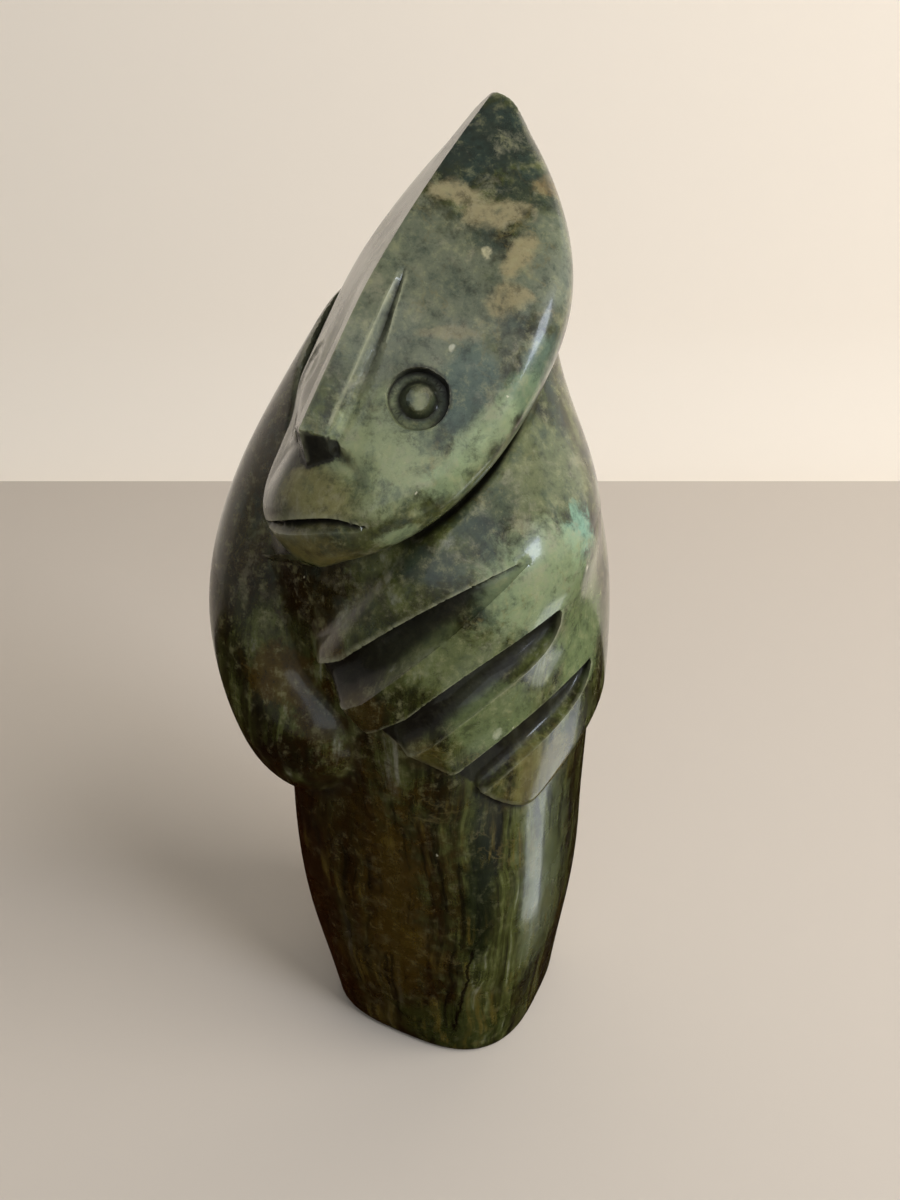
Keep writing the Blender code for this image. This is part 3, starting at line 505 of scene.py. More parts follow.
def sheet_points(point, normal, sheet, low, high):
    """One point per sheet: nearest to all the tangent planes at its crossings, kept in its box."""
    total = len(low)

    def gather(weight):
        return np.bincount(sheet, weight, total)

    share = gather(np.ones(len(sheet)))
    mean = np.stack([gather(point[:, a]) for a in range(3)], -1) / share[:, None]
    offset = ((point - mean[sheet]) * normal).sum(1)
    pairs = [gather(normal[:, i] * normal[:, j]) for i in range(3) for j in range(3)]
    matrix = np.stack(pairs, -1).reshape(-1, 3, 3)
    right = np.stack([gather(normal[:, i] * offset) for i in range(3)], -1)
    strength, direction = np.linalg.eigh(matrix)
    weight = np.where(strength > FLATNESS * strength[:, -1:], 1 / np.maximum(strength, 1e-9), 0)
    along = weight * (direction * right[:, :, None]).sum(1)
    return np.clip(mean + (direction * along[:, None, :]).sum(2), low, high)


def outer_skin(vertices, faces):
    """The largest joined-up skin: a pocket shut in at the bottom of a narrow cut is left solid."""
    label = np.arange(len(vertices))
    changed = True
    while changed:
        lower = label.copy()
        np.minimum.at(lower, faces.ravel(), np.repeat(label[faces].min(1), 4))
        lower = lower[lower]
        changed = bool((lower != label).any())
        label = lower
    kept = label == np.argmax(np.bincount(label))
    number = np.cumsum(kept) - 1
    return vertices[kept], number[faces[kept[faces[:, 0]]]]


def skin(lines):
    """Closed skin of the carving: a point for each sheet in each box, a face for each crossed edge."""
    boxes, corners = boxes_at_surface(lines)
    axis, low, high = box_edges()
    low_inside = corners[:, low @ (4, 2, 1)]
    crossed = low_inside != corners[:, high @ (4, 2, 1)]
    label = patch_labels(corners, crossed, axis, low)
    box, edge = np.nonzero(crossed)
    start = boxes[box] + low[edge]
    rows = [len(line) + 1 for line in lines]
    key = ((start[:, 0] * rows[1] + start[:, 1]) * rows[2] + start[:, 2]) * 3 + axis[edge]
    key, first, edge_number = np.unique(key, return_index=True, return_inverse=True)
    inside = low_inside[box[first], edge[first]]
    point = crossing_points(lines, start[first], axis[edge[first]], inside)
    normal = surface_normals(point)
    sheet_key, sheet = np.unique(box * 12 + label[box, edge], return_inverse=True)
    owner = boxes[sheet_key // 12]
    box_low = np.stack([lines[a][owner[:, a]] for a in range(3)], -1)
    box_high = np.stack([lines[a][owner[:, a] + 1] for a in range(3)], -1)
    vertices = sheet_points(point[edge_number], normal[edge_number], sheet, box_low, box_high)
    faces = np.zeros((len(key), 4), int)
    faces[edge_number, edge % 4] = sheet
    return outer_skin(vertices, np.where(inside[:, None], faces, faces[:, ::-1]))


# ---------------------------------------------------------------- the carving as a mesh

MILLIMETRE = 0.001
BLOCK_LOW, BLOCK_HIGH = (-72.4, -72.6, -4.0), (62.0, 66.0, 306.0)
FINE_GRID, PLAIN_GRID = ((1.06, 1.8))
DETAIL_FROM, DETAIL_BEHIND = 104.0, 12.0
RIGHT_SIDE, RIGHT_SIDE_WIDER = -30.0, 1.3
CRISP_EDGE = 35.0
NECK_GROOVE = 1.8
# Room about each point: how far it is measured, and how far and in how many ways the feelers lean out.
HOLLOW_REACHES, EDGE_REACHES = (1.5, 4.0), (1.6, 3.0)
LEAN_OUT, LEANING_WAYS = 0.9, 6
# Painted shade, and painted highlight along the nose, from 0 to 1, and the widths and heights
# in millimetres that they fade over.
FINGER_SHADE, SHADED_DEPTH, HAND_OUTLINE = 0.62, 4.5, 0.6
EYE_SHADE, EYE_SHADE_WIDTH, EYE_SHADES_AT = 0.95, 1.1, (EYE_OUTER - 0.5, EYE_BOSS_FOOT - 0.4)
# The outer wall's shade level with the eye, how it grows upwards and its least, and the boss's.
EYE_WALL_SHADE, EYE_WALL_GROWTH, EYE_WALL_LEAST, EYE_BOSS_SHADE = 0.55, 0.75, 0.2, 0.6
UNDER_NOSE_SHADE, UNDER_NOSE_SKIN = 0.95, 0.5
UNDER_NOSE_HEIGHT_FADE, UNDER_NOSE_SIDE_FADE = (-0.2, 0.8), (9.5, 6)
# Painted highlight along the nose's edge and along the groove's outer edge.
NOSE_HIGHLIGHT, NOSE_HIGHLIGHT_WIDTH, NOSE_HIGHLIGHT_INSET = 0.9, 0.5, 0.2
NOSE_LOW_FADE, NOSE_TOP_FADE, OUTER_HIGHLIGHT_FADE = (227, 230), (266, 260), (240, 248)
GROOVE_SHADE, GROOVE_SHADE_AT, GROOVE_SHADE_WIDTH = 0.28, 0.45, 0.35


def grid_lines():
    """Fine boxes over the face, arms and hand, wider ones over the back and lower body."""
    sizes = (
        lambda x: FINE_GRID if x > RIGHT_SIDE else RIGHT_SIDE_WIDER * FINE_GRID,
        lambda y: FINE_GRID if y < DETAIL_BEHIND else PLAIN_GRID,
        lambda z: FINE_GRID if z > DETAIL_FROM else PLAIN_GRID,
    )
    return [grid_places(low, high, size) for low, high, size in zip(BLOCK_LOW, BLOCK_HIGH, sizes)]


def closeness(points, reaches, side):
    """How little room each point has: 0 on flat ground, towards 1 deep in a cut or out on an edge.

    The room is found outside the stone (side 1) or inside it (side -1), at some distances straight
    from the surface and by feelers that lean from it, each as a share of what flat ground leaves.
    """
    straight = side * surface_normals(points)
    steep = np.abs(straight[:, 2:]) < 0.9
    aside = np.cross(straight, np.where(steep, (0, 0, 1.0), (1.0, 0, 0)))
    aside /= np.linalg.norm(aside, axis=1, keepdims=True)
    other = np.cross(straight, aside)
    upright, flat = np.cos(LEAN_OUT), np.sin(LEAN_OUT)
    rooms = []
    for far in reaches:
        rooms.append(np.clip(side * figure(*(points + far * straight).T) / far, 0, 1))
        for turn in np.arange(LEANING_WAYS) * 2 * np.pi / LEANING_WAYS:
            way = upright * straight + flat * (np.cos(turn) * aside + np.sin(turn) * other)
            rooms.append(np.clip(side * figure(*(points + far * way).T) / (far * upright), 0, 1))
    return 1 - np.mean(rooms, axis=0)


def between_fingers(x, y, z):
    """How far down in a cut between two fingers each point is: 0 on a finger, up to FINGER_SHADE."""
    slant = np.radians(HAND_SLANT)
    across = np.cos(slant) * x + np.sin(slant) * y
    front = ramp(np.cos(slant) * y - np.sin(slant) * x, *CUTS_FADE)
    below_last = LAST_FINGER_LINE[0] * across + LAST_FINGER_LINE[1] * z + LAST_FINGER_LINE[2]
    outside = np.maximum(FINGERTIP_HEIGHT(across) - z, below_last)
    deep = np.clip(finger_cuts(across, z)[0] / SHADED_DEPTH, 0, 1)
    return FINGER_SHADE * deep * front * ramp(outside, HAND_OUTLINE, -HAND_OUTLINE)


def round_eyes(x, y, z):
    """Shade at the foot of the left eye ring's outer wall, darkest up and out, and round its boss."""
    away = np.stack([np.abs(x - FACE_MIDDLE) - EYE_PLACE[0], y - EYE_PLACE[1], z - EYE_PLACE[2]])
    facing = np.array(EYE_FACING) / np.linalg.norm(EYE_FACING)
    along = facing @ away
    radius = np.sqrt(np.maximum((away ** 2).sum(0) - along ** 2, 0))
    outer, inner = (np.exp(-((radius - place) / EYE_SHADE_WIDTH) ** 2) for place in EYE_SHADES_AT)
    high = (EYE_DEEP_SIDE[0] * away[0] + EYE_DEEP_SIDE[1] * away[2]) / EYE_OUTER
    wall = np.clip(EYE_WALL_SHADE + EYE_WALL_GROWTH * high, EYE_WALL_LEAST, 1)
    shade = np.maximum(outer * wall, EYE_BOSS_SHADE * inner)
    return EYE_SHADE * shade * (x > FACE_MIDDLE) * (np.abs(along) < EYE_REACH)


def under_nose(x, y, z):
    """UNDER_NOSE_SHADE on the face under the nose tip, and 0 elsewhere."""
    x = x - FACE_MIDDLE
    side = np.abs(x)
    planes = ridge_planes(x, y, z)[1] + nose_relief(x, side, z)
    below = np.interp(side, UNDER_NOSE_SIDES, UNDER_NOSE_HEIGHTS) - z
    on_face = (np.abs(planes) < UNDER_NOSE_SKIN) & (y < 0)
    fading = ramp(below, *UNDER_NOSE_HEIGHT_FADE) * ramp(side, *UNDER_NOSE_SIDE_FADE)
    return UNDER_NOSE_SHADE * on_face * fading


def beside_nose(x, y, z):
    """Painted highlight along the nose's edge and the groove's outer edge, and painted shade in the
    groove between.
    """
    out = x - FACE_MIDDLE - np.interp(z, *NOSE_EDGE)
    width = np.interp(z, GROOVE_HEIGHTS, GROOVE_WIDTHS)
    front = (y < 0) * ramp(z, *NOSE_LOW_FADE) * ramp(z, *NOSE_TOP_FADE)
    first = np.exp(-((out + NOSE_HIGHLIGHT_INSET) / NOSE_HIGHLIGHT_WIDTH) ** 2)
    second = np.exp(-((out - width) / NOSE_HIGHLIGHT_WIDTH) ** 2) * ramp(z, *OUTER_HIGHLIGHT_FADE)
    shade = np.exp(-((out / width - GROOVE_SHADE_AT) / GROOVE_SHADE_WIDTH) ** 2)
    return NOSE_HIGHLIGHT * np.maximum(first, second) * front, GROOVE_SHADE * shade * front


def carving():
    """The figure's mesh in metres, standing on z = 0, the middle of its outline over the origin.

    Its points carry how hollow and how edge-like each place is, which give the stone painted shade in
    its hollows and pale edges that are partly wear and partly painted highlight.
    """
    vertices, faces = skin(grid_lines())
    vertices[:, 2] = np.maximum(vertices[:, 2], 0)
    nose_edge_highlight, groove_shade = beside_nose(*vertices.T)
    # Painted shade: darker in cuts and under overhangs, between the fingers, under the nose tip, round
    # the eye and in the nose groove.
    hollow = np.max((
        closeness(vertices, HOLLOW_REACHES, 1),
        between_fingers(*vertices.T),
        under_nose(*vertices.T),
        round_eyes(*vertices.T),
        groove_shade,
    ), axis=0)
    # Pale edges: partly wear and partly painted highlight, with the painted highlight along the nose.
    edge = np.maximum(closeness(vertices, EDGE_REACHES, -1), nose_edge_highlight)
    middle = (vertices[:, :2].min(0) + vertices[:, :2].max(0)) / 2
    vertices[:, :2] -= middle
    mesh = bpy.data.meshes.new("carved_stone")
    mesh.from_pydata((vertices * MILLIMETRE).tolist(), [], faces.tolist())
    mesh.attributes.new("hollow", "FLOAT", "POINT").data.foreach_set("value", hollow)
    mesh.attributes.new("edge", "FLOAT", "POINT").data.foreach_set("value", edge)
    mesh.shade_smooth()
    mesh.set_sharp_from_angle(angle=np.radians(CRISP_EDGE))
    piece = bpy.data.objects.new("carved_stone", mesh)
    bpy.context.scene.collection.objects.link(piece)
    return piece, middle


# ---------------------------------------------------------------- stone

def linear(colour):
    """sRGB hex to linear: c / 12.92 below 0.04045, else ((c + 0.055) / 1.055) ^ 2.4, and alpha 1."""
    parts = np.array([int(colour[i:i + 2], 16) for i in (1, 3, 5)]) / 255
    parts = np.where(parts > 0.04045, ((parts + 0.055) / 1.055) ** 2.4, parts / 12.92)
    return (*parts.tolist(), 1.0)


def node(tree, kind, sockets, **settings):
    """Add a node with its settings. An output given for a socket is linked, a value is written in."""
    new = tree.nodes.new(kind)
    for name, value in settings.items():
        setattr(new, name, value)
    for socket, value in sockets.items():
        if isinstance(value, bpy.types.NodeSocket):
            tree.links.new(value, new.inputs[socket])
        else:
            new.inputs[socket].default_value = value
    return new


# Sockets of a colour mix: how much of the second colour, the two colours, and the result.
SHARE, FIRST, SECOND, MIXED = 0, 6, 7, 2
# Blots: colour, centre and reach in millimetres, how much of it shows and how ragged its edge is.
BLOTS = (
    # face above the nose
    ("#727965", (12, -24, 254), (28, 24, 27), 0.8, 0.45),
    ("#4a5c53", (32, -25, 238), (6, 9, 13), 0.75, 0.5),
    ("#727a68", (36, 4, 266), (9, 18, 18), 0.75, 0.45),
    ("#26312b", (12, 4, 292), (26, 18, 12), 0.92, 0.6),
    ("#2a352e", (25, 6, 280), (9, 10, 8), 0.75, 0.7),
    ("#9c9371", (10, -5, 279), (9, 5, 2.8), 0.85, 0.6),
    ("#9c9371", (22, -2, 274), (11, 7, 3.2), 0.85, 0.6),
    ("#9a906c", (30, -4, 267), (2.8, 5, 9), 0.85, 0.6),
    ("#988e6a", (32, -10, 256), (4, 6, 4), 0.8, 0.7),
    ("#90876a", (24, -22, 249), (8, 6, 1.6), 0.5, 0.8),
    ("#857450", (26, 12, 281), (3, 5, 5), 0.7, 0.8),
    ("#c9c3a0", (24, -8, 266.5), (1.2, 1.4, 1.5), 0.8, 0.8),
    # cheek, jaw and mouth
    ("#94a079", (18, -42, 221), (17, 13, 13), 0.75, 0.5),
    # Jade along the jaw rim: the stone's jade with painted sheen of the rounded rim.
    ("#6f8a74", (41.6, -5.5, 242), (3.8, 7, 6), 0.5, 0.35),
    ("#7f9877", (41.2, -15, 236), (3.6, 7, 6), 0.6, 0.35),
    ("#97a882", (40, -22.5, 230.5), (3.8, 7, 6), 0.7, 0.35),
    ("#97a882", (38, -29, 224.5), (4, 6.5, 6), 0.7, 0.35),
    ("#8c9f79", (35.6, -35, 218), (4.2, 6.5, 5.6), 0.6, 0.5),
    ("#98ab84", (28, -46, 205), (5, 6, 3.2), 0.6, 0.8),
    ("#838053", (9, -55, 213), (11, 7, 6), 0.75, 0.5),
    ("#7c7644", (8, -54, 199), (14, 8, 6), 0.75, 0.6),
    # Painted shade in the eye's ring cut.
    ("#262c1a", (23.9, -33.6, 235), (6.2, 6.2, 6.2), 0.68, 0.1),
    ("#808664", (23.9, -33.6, 235), (2.5, 2.5, 2.5), 0.8, 0.2),
    ("#c8c8b4", (26.7, -23.4, 245.4), (0.5, 0.7, 1.3), 0.7, 0.4),
    # shoulder and back of the hand
    ("#6c7452", (39, -6, 213), (15, 21, 13), 0.8, 0.55),
    # Pale turquoise smear: painted sheen on the shoulder.
    ("#7fae98", (52, 1, 199), (4.5, 7, 13), 0.75, 0.8),
    # Painted shade under the jaw.
    ("#36423c", (36.5, -22, 206), (5.5, 11, 10), 0.55, 0.5),
    ("#8a9b76", (49, -15, 187), (14, 19, 15), 0.8, 0.5),
    ("#75875d", (51, 7, 168), (9, 15, 22), 0.75, 0.5),
    ("#d8d8c8", (50.4, 2.6, 185.3), (1.2, 1.2, 1.3), 0.9, 0.8),
    ("#d8d8c8", (45, -26.1, 143.4), (1.0, 1.1, 1.8), 0.95, 0.8),
    ("#66704b", (38, -36, 170), (14, 15, 9), 0.75, 0.55),
    ("#68774f", (44, -27, 149), (13, 14, 11), 0.75, 0.55),
    ("#7c7344", (49, -9, 124), (9, 14, 12), 0.5, 0.9),
    # finger tips
    ("#42310d", (5, -51, 166), (9, 8, 7), 0.85, 0.8),
    ("#3d300f", (19, -53, 154), (8, 7, 6), 0.85, 0.8),
    ("#4a4318", (31, -43, 136), (7, 7, 7), 0.7, 0.8),
    # chest, right arm and elbow
    # Painted shadow under the chin.
    ("#251903", (-8, -43, 180), (20, 14, 14), 0.85, 0.8),
    ("#3b463f", (30, -38, 194), (9, 9, 6), 0.6, 0.8),
    ("#352706", (-44, -30, 185), (20, 28, 44), 0.8, 0.7),
    ("#4a3a10", (-12, -54, 151), (12, 9, 9), 0.85, 0.9),
    ("#3e2f0c", (2, -53, 139), (7, 6, 8), 0.7, 0.9),
    ("#160e03", (-5, -57, 128), (10, 9, 8), 0.9, 0.8),
    # lower body
    ("#2e1d03", (0, -42, 60), (44, 22, 82), 0.75, 0.7),
    # Darker left side: the stone's red-brown with painted shade on the side turned from the light.
    ("#2f1803", (-26, -38, 60), (22, 20, 70), 0.85, 0.7),
    ("#4a3a0c", (18, -42, 70), (11, 10, 46), 0.65, 0.9),
    ("#101a07", (40, -27, 80), (3.5, 6, 36), 0.85, 0.6),
    # Paler right side: the stone's green-grey with painted light on the side towards the lights.
    ("#566040", (46, 3, 74), (7, 16, 40), 0.7, 0.8),
    ("#303a16", (28, -26, 14), (18, 20, 14), 0.7, 0.8),
)
# The crack on the lower body: a point on it, the direction across it and its half length.
CRACK_PLACE, CRACK_REACH = (35.0, -28.0, 36.0), (14.0, 14.0, 27.0)
CRACK_ACROSS = (-0.731, -0.662, 0.114)
# The stone's own tones, from the darkest cloud to the palest: where each comes in and its colour.
CLOUD_TONES = (
    (0.36, "#0c0c04"), (0.44, "#211f0b"), (0.51, "#343816"), (0.58, "#535a2e"), (1.0, "#ffffff"),
)


def serpentine(middle):
    """Green serpentine, carved, sanded and wax-polished: deep green and brown clouds with jade and
    ochre blots, a few of them painted sheen, painted shade and painted light, fine gold streaks along
    its upright bedding, painted shade in the hollows, which stay rough where the polishing cloth did
    not reach, pale edges that are partly wear and partly painted highlight, a few pale scars, and a
    gloss that wavers with the hand sanding."""
    material = bpy.data.materials.new("wax_polished_serpentine")
    material.use_nodes = True
    tree = material.node_tree
    shader = tree.nodes["Principled BSDF"]

    def noise(at, size, detail=3.0, rough=0.55, **more):
        """Cloudy noise whose clouds are about the given size in millimetres."""
        return node(tree, "ShaderNodeTexNoise",
                    {"Vector": at, "Scale": 1 / size, "Detail": detail, "Roughness": rough}, **more)

    def spread(value, low, high, to_low=0.0, to_high=1.0):
        """S-shaped rise of a value from low to high, given as to_low to to_high."""
        return node(tree, "ShaderNodeMapRange", {
            "Value": value, "From Min": low, "From Max": high, "To Min": to_low, "To Max": to_high,
        }, interpolation_type="SMOOTHSTEP").outputs["Result"]

    def sums(kind, first, second):
        """Sum, product or other arithmetic of two values."""
        return node(tree, "ShaderNodeMath", {0: first, 1: second}, operation=kind).outputs[0]

    def size_of(value):
        """The value without its sign."""
        return node(tree, "ShaderNodeMath", {0: value}, operation="ABSOLUTE").outputs[0]

    def over(below, colour, share):
        """Lay a colour over what is below it, by the share from 0 to 1."""
        return node(tree, "ShaderNodeMix", {SHARE: share, FIRST: below, SECOND: colour},
                    data_type="RGBA").outputs[MIXED]

    def swirl(at, size, reach, detail=2.0):
        """Move the places about by clouds of the given size, up to half the reach each way."""
        cloud = noise(at, size, detail).outputs["Color"]
        move = node(tree, "ShaderNodeVectorMath", {0: cloud, 1: (reach,) * 3, 2: (-reach / 2,) * 3},
                    operation="MULTIPLY_ADD").outputs[0]
        return node(tree, "ShaderNodeVectorMath", {0: at, 1: move}, operation="ADD").outputs[0]

    def within(at, centre, reach):
        """0 at the centre and 1 at the reach each way, growing on past it."""
        inside = node(tree, "ShaderNodeMapping", {"Vector": at, "Location": centre, "Scale": reach},
                      vector_type="TEXTURE").outputs[0]
        return node(tree, "ShaderNodeVectorMath", {0: inside}, operation="LENGTH").outputs["Value"]

    place = node(tree, "ShaderNodeMapping", {
        "Vector": node(tree, "ShaderNodeTexCoord", {}).outputs["Object"],
        "Location": (middle[0], middle[1], 0), "Scale": (1 / MILLIMETRE,) * 3,
    }).outputs[0]
    height = node(tree, "ShaderNodeSeparateXYZ", {"Vector": place}).outputs["Z"]
    loose = swirl(swirl(place, 24.0, 20.0, 3.0), 5.0, 2.5)
    near = swirl(swirl(place, 15.0, 7.0), 5.0, 1.5)
    bedding = node(tree, "ShaderNodeMapping", {
        "Vector": swirl(place, 45.0, 14.0), "Scale": (1, 1, 0.035), "Rotation": (0.06, -0.07, 0),
    }).outputs[0]

    # The stone's own clouds, which turn to upright streaks in the lower body.
    clouds = noise(loose, 26.0, 6.0, 0.65).outputs["Fac"]
    streaks = noise(bedding, 7.0, 6.0, 0.7).outputs["Fac"]
    streaky = spread(height, 200.0, 120.0, 0.3, 0.8)
    cloudy = sums("MULTIPLY", clouds, sums("SUBTRACT", 1.0, streaky))
    tone = sums("ADD", cloudy, sums("MULTIPLY", streaks, streaky))
    tones = node(tree, "ShaderNodeValToRGB", {"Fac": tone})
    stops = tones.color_ramp.elements
    stops.remove(stops[1])
    for number, (at, shade) in enumerate(CLOUD_TONES):
        stop = stops.new(at) if number else stops[0]
        stop.position = at
        stop.color = linear(shade)
    colour = tones.outputs["Color"]

    # Blots with ragged edges.
    ragged = noise(near, 7.0, 8.0, 0.74).outputs["Fac"]
    for shade, centre, reach, amount, rough in BLOTS:
        wander = sums("MULTIPLY", sums("SUBTRACT", ragged, 0.5), 3.4 * rough)
        edge = sums("ADD", within(near, centre, reach), wander)
        colour = over(colour, linear(shade), spread(edge, 1.3, 0.65, 0.0, amount))

    def patched(below, shade, pattern, where):
        """Lay a shade over what is below it where a pattern shows, kept to one part of the figure."""
        return over(below, linear(shade), sums("MULTIPLY", pattern, where))

    # Finger-wide patches and fine mottling up high, gold and dark fibres low down.
    patches = noise(near, 9.0, 8.0, 0.74).outputs["Fac"]
    high_up = spread(height, 150.0, 190.0)
    colour = patched(colour, "#2f4039", spread(patches, 0.5, 0.37, 0.0, 0.5), high_up)
    colour = patched(colour, "#93917a", spread(patches, 0.52, 0.66, 0.0, 0.45), high_up)
    mottle = noise(place, 4.0, 9.0, 0.76).outputs["Fac"]
    low_down = spread(height, 135.0, 110.0)
    grainy = spread(height, 110.0, 150.0, 0.45, 1.0)
    colour = patched(colour, "#0f1108", spread(mottle, 0.5, 0.34, 0.0, 0.5), grainy)
    colour = patched(colour, "#a6a67c", spread(mottle, 0.5, 0.68, 0.0, 0.34), grainy)
    fibres = noise(bedding, 3.0, 5.0, 0.62).outputs["Fac"]
    some = spread(noise(loose, 22.0, 2.0).outputs["Fac"], 0.45, 0.62)
    here_and_there = sums("MULTIPLY", low_down, some)
    colour = patched(colour, "#6a5c24", spread(fibres, 0.5, 0.68, 0.0, 0.6), here_and_there)
    colour = patched(colour, "#0b0d05", spread(fibres, 0.48, 0.36, 0.0, 0.7), low_down)

    # Thin pale veins, where cloudy noise passes its middle.
    off_vein = size_of(sums("SUBTRACT", noise(loose, 20.0, 5.0).outputs["Fac"], 0.5))
    colour = patched(colour, "#86784a", spread(off_vein, 0.012, 0.0, 0.0, 0.2), some)

    # The crack, a wandering line within its reach.
    line = node(tree, "ShaderNodeVectorMath", {0: swirl(place, 9.0, 7.0, 4.0), 1: CRACK_ACROSS},
                operation="DOT_PRODUCT").outputs["Value"]
    off_line = size_of(sums("SUBTRACT", line, float(np.dot(CRACK_PLACE, CRACK_ACROSS))))
    ends = spread(within(place, CRACK_PLACE, CRACK_REACH), 1.0, 0.8)
    crack = sums("MULTIPLY", spread(off_line, 0.8, 0.2), ends)
    colour = over(colour, linear("#0d0a04"), sums("MULTIPLY", crack, 0.85))

    # Pale flecks in a few of the cells, painted shade in the hollows, and pale edges that are partly
    # wear and partly painted highlight.
    cells = node(tree, "ShaderNodeTexVoronoi", {"Vector": swirl(place, 1.5, 1.5), "Scale": 1 / 8.0})
    chosen = node(tree, "ShaderNodeSeparateColor", {"Color": cells.outputs["Color"]}).outputs[0]
    fleck = spread(cells.outputs["Distance"], 0.07, 0.04, 0.0, 0.7)
    colour = patched(colour, "#cfcdb6", fleck, spread(chosen, 0.8, 0.84))
    hollow = node(tree, "ShaderNodeAttribute", {}, attribute_name="hollow").outputs["Fac"]
    # Painted shade in the hollows, nearly black.
    colour = over(colour, linear("#110e05"), spread(hollow, 0.2, 0.66, 0.0, 0.92))
    edge_wear_and_highlight = node(tree, "ShaderNodeAttribute", {}, attribute_name="edge").outputs["Fac"]
    broken_up = spread(ragged, 0.36, 0.56, 0.3, 1.0)
    # Pale edges, partly wear and partly painted highlight.
    colour = patched(colour, "#a9ac8e", spread(edge_wear_and_highlight, 0.3, 0.8, 0.0, 0.6), broken_up)
    tree.links.new(colour, shader.inputs["Base Color"])

    # Gloss: waxed and hand polished, wavering with the sanding, nearly matt and rough in the hollows.
    smears = noise(place, 14.0, 5.0, 0.6).outputs["Fac"]
    gloss = sums("ADD", spread(smears, 0.3, 0.75, 0.2, 0.34), sums("MULTIPLY", hollow, 0.5))
    tree.links.new(gloss, shader.inputs["Roughness"])
    shader.inputs["IOR"].default_value = 1.5
    shader.inputs["Coat Weight"].default_value = 0.6
    shader.inputs["Coat Roughness"].default_value = 0.1
    sanded = sums("MULTIPLY", noise(place, 13.0, 2.0).outputs["Fac"], 0.32)
    grain = sums("MULTIPLY", mottle, 0.02)
    sunk = sums("MULTIPLY", crack, -0.35)
    chiselled = sums("MULTIPLY", sums("MULTIPLY", noise(near, 3.0).outputs["Fac"], hollow), 0.5)
    raised = sums("ADD", sums("ADD", sanded, grain), sums("ADD", sunk, chiselled))
    bump = node(tree, "ShaderNodeBump", {"Height": raised, "Distance": MILLIMETRE, "Strength": 1.0})
    tree.links.new(bump.outputs[0], shader.inputs["Normal"])
    return material


# ---------------------------------------------------------------- studio

# The camera, and level directions straight away from it and to its right.
VIEW_FROM = Vector((0.1855, -0.1928, 0.2955))
VIEW_ALONG = Vector((-0.596, 0.662, -0.454))
LENS = 28.5
AWAY = Vector((-0.669, 0.743, 0.0))
ACROSS = Vector((0.743, 0.669, 0.0))
FLOOR_COLOUR, BACKDROP_COLOUR, BACKDROP_GLOW = "#d3ccc4", "#ddd6cc", 0.3
SURROUND_BELOW, SURROUND_ABOVE, SURROUND_GLOW = "#44200c", "#d9d4cd", 0.22
# Distances in metres from below the figure, away from the camera and up.
FLOOR_START, FAR_FLOOR, FLOOR_END, BEND_RADIUS, BACKDROP_TOP, HALF_WIDTH = -5, 0.2, 0.55, 0.12, 2.2, 4
# Lights: name, height aimed at, distance, bearing and height in degrees, size, watts and colour, and
# whether the polish mirrors it and the rest of the stone and paper is lit by it.
LIGHTS = (
    ("daylight", 0.16, 1.6, 115, 38, (1.2, 1.2), 24.0, "#fff8ee", False, True),
    ("window", 0.16, 1.2, 127, 30, (0.3, 0.28), 2.6, "#e3edff", True, True),
    ("room", 0.16, 1.6, -178, 38, (1.3, 0.9), 2.8, "#e6f0f4", True, True),
    ("side_wall", 0.16, 1.5, 82, 20, (1.2, 1.1), 2.6, "#dfeaf0", True, False),
    ("glint", 0.09, 0.6, 84, -36, (0.2, 0.24), 0.26, "#e8eff2", True, False),
    ("low_glow", 0.09, 1.0, 150, -28, (0.7, 0.3), 0.25, "#e6efe8", True, False),
)


def paper(name, points, colour, glow):
    """A sheet of matte studio paper through a grid of points, with a glow if it is lit from behind."""
    rows, columns = points.shape[:2]
    number = np.arange(rows * columns).reshape(rows, columns)
    corners = (number[:-1, :-1], number[:-1, 1:], number[1:, 1:], number[1:, :-1])
    mesh = bpy.data.meshes.new(name)
    mesh.from_pydata(points.reshape(-1, 3).tolist(), [], np.stack(corners, -1).reshape(-1, 4).tolist())
    mesh.shade_smooth()
    material = bpy.data.materials.new("matte_" + name)
    material.use_nodes = True
    shader = material.node_tree.nodes["Principled BSDF"]
    shader.inputs["Base Color"].default_value = linear(colour)
    shader.inputs["Roughness"].default_value = 0.9
    shader.inputs["Specular IOR Level"].default_value = 0.1
    shader.inputs["Emission Color"].default_value = linear(colour)
    shader.inputs["Emission Strength"].default_value = glow
    mesh.materials.append(material)
    sheet = bpy.data.objects.new(name, mesh)
    bpy.context.scene.collection.objects.link(sheet)
    return sheet


def swept(out, up, side):
    """Grid of points: a profile of distances away and up, carried straight sideways."""
    away, across, rise = np.array(AWAY), np.array(ACROSS), np.array((0.0, 0.0, 1.0))
    return (out[:, None, None] * away + up[:, None, None] * rise) + side[None, :, None] * across


def studio_paper():
    """Seamless paper: a flat floor, and a backdrop that leaves it in a quarter circle and rises.

    The polish doesn't mirror the near floor, so that it looks as dark below as over dark wood.
    """
    side = np.linspace(-HALF_WIDTH, HALF_WIDTH, 9)
    spans = (("near_floor", FLOOR_START, FAR_FLOOR), ("far_floor", FAR_FLOOR, FLOOR_END))
    for name, near, far in spans:
        floor = paper(name, swept(np.linspace(near, far, 12), np.zeros(12), side), FLOOR_COLOUR, 0.0)
        floor.visible_glossy = name == "far_floor"
        floor.visible_shadow = False
    bend = np.linspace(0, np.pi / 2, 16)
    out = np.append(FLOOR_END + BEND_RADIUS * np.sin(bend), FLOOR_END + BEND_RADIUS)
    up = np.append(BEND_RADIUS - BEND_RADIUS * np.cos(bend), BACKDROP_TOP)
    paper("backdrop_paper", swept(out, up, side), BACKDROP_COLOUR, BACKDROP_GLOW)


def bearing_way(bearing, height):
    """Direction at a bearing from straight away, turning right, and a height above level."""
    a, e = np.radians(bearing), np.radians(height)
    level = AWAY * float(np.cos(a)) + ACROSS * float(np.sin(a))
    return level * float(np.cos(e)) + Vector((0, 0, float(np.sin(e))))


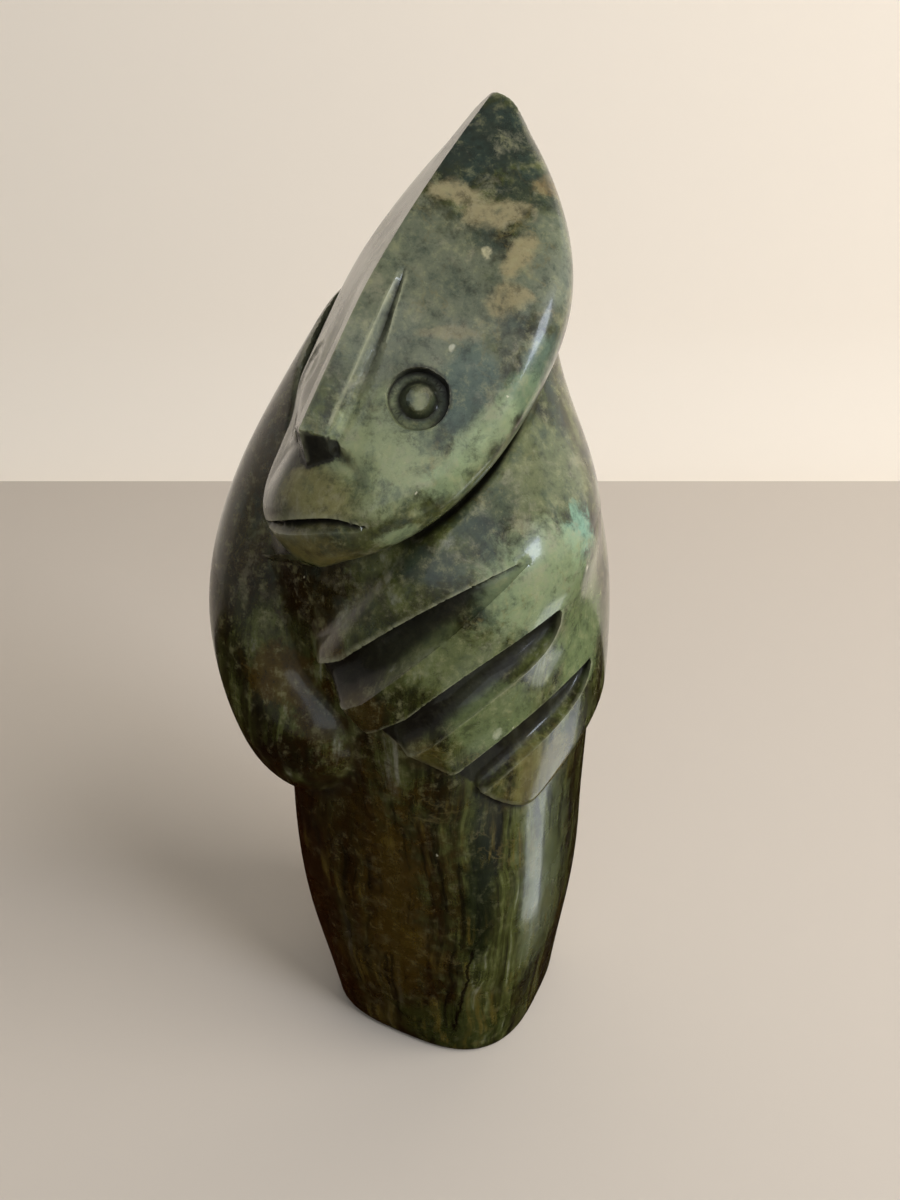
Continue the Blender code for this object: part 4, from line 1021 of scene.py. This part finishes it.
def softbox(name, aim, distance, bearing, height, size, power, colour, in_gloss, in_scatter):
    """Soft flat light that faces the height it is aimed at, over the middle of the floor."""
    target = Vector((0, 0, aim))
    place = target + distance * bearing_way(bearing, height)
    data = bpy.data.lights.new(name, "AREA")
    data.shape = "RECTANGLE"
    data.size, data.size_y = size
    data.energy = power
    data.color = linear(colour)[:3]
    lamp = bpy.data.objects.new(name, data)
    lamp.location = place
    lamp.rotation_mode = "QUATERNION"
    lamp.rotation_quaternion = (target - place).to_track_quat("-Z", "Y")
    lamp.visible_camera = False
    lamp.visible_glossy = in_gloss
    lamp.visible_diffuse = in_scatter
    bpy.context.scene.collection.objects.link(lamp)


def studio():
    """Paper, soft lights, low cards that give the polish its glints, a surround and the camera.

    The surround is pale above the horizon and dark brown below it.
    """
    studio_paper()
    for light in LIGHTS:
        softbox(*light)
    world = bpy.data.worlds.new("soft_room")
    world.use_nodes = True
    sky = world.node_tree.nodes["Background"]
    direction = node(world.node_tree, "ShaderNodeTexCoord", {}).outputs["Generated"]
    rise = node(world.node_tree, "ShaderNodeSeparateXYZ", {"Vector": direction}).outputs["Z"]
    above = node(world.node_tree, "ShaderNodeMapRange",
                 {"Value": rise, "From Min": -0.1, "From Max": 0.02})
    shade = node(world.node_tree, "ShaderNodeMix", {
        SHARE: above.outputs["Result"],
        FIRST: linear(SURROUND_BELOW), SECOND: linear(SURROUND_ABOVE),
    }, data_type="RGBA")
    world.node_tree.links.new(shade.outputs[MIXED], sky.inputs["Color"])
    sky.inputs["Strength"].default_value = SURROUND_GLOW
    bpy.context.scene.world = world
    bpy.context.scene.view_settings.view_transform = "Standard"
    lens = bpy.data.cameras.new("camera")
    lens.lens = LENS
    lens.sensor_width = 36.0
    lens.clip_start = 0.01
    camera = bpy.data.objects.new("camera", lens)
    camera.location = VIEW_FROM
    camera.rotation_mode = "QUATERNION"
    camera.rotation_quaternion = VIEW_ALONG.to_track_quat("-Z", "Y")
    bpy.context.scene.collection.objects.link(camera)
    bpy.context.scene.camera = camera


figure_piece, outline_middle = carving()
figure_piece.data.materials.append(serpentine(outline_middle))
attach(figure_piece, "root")
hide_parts("stone_figure")
studio()
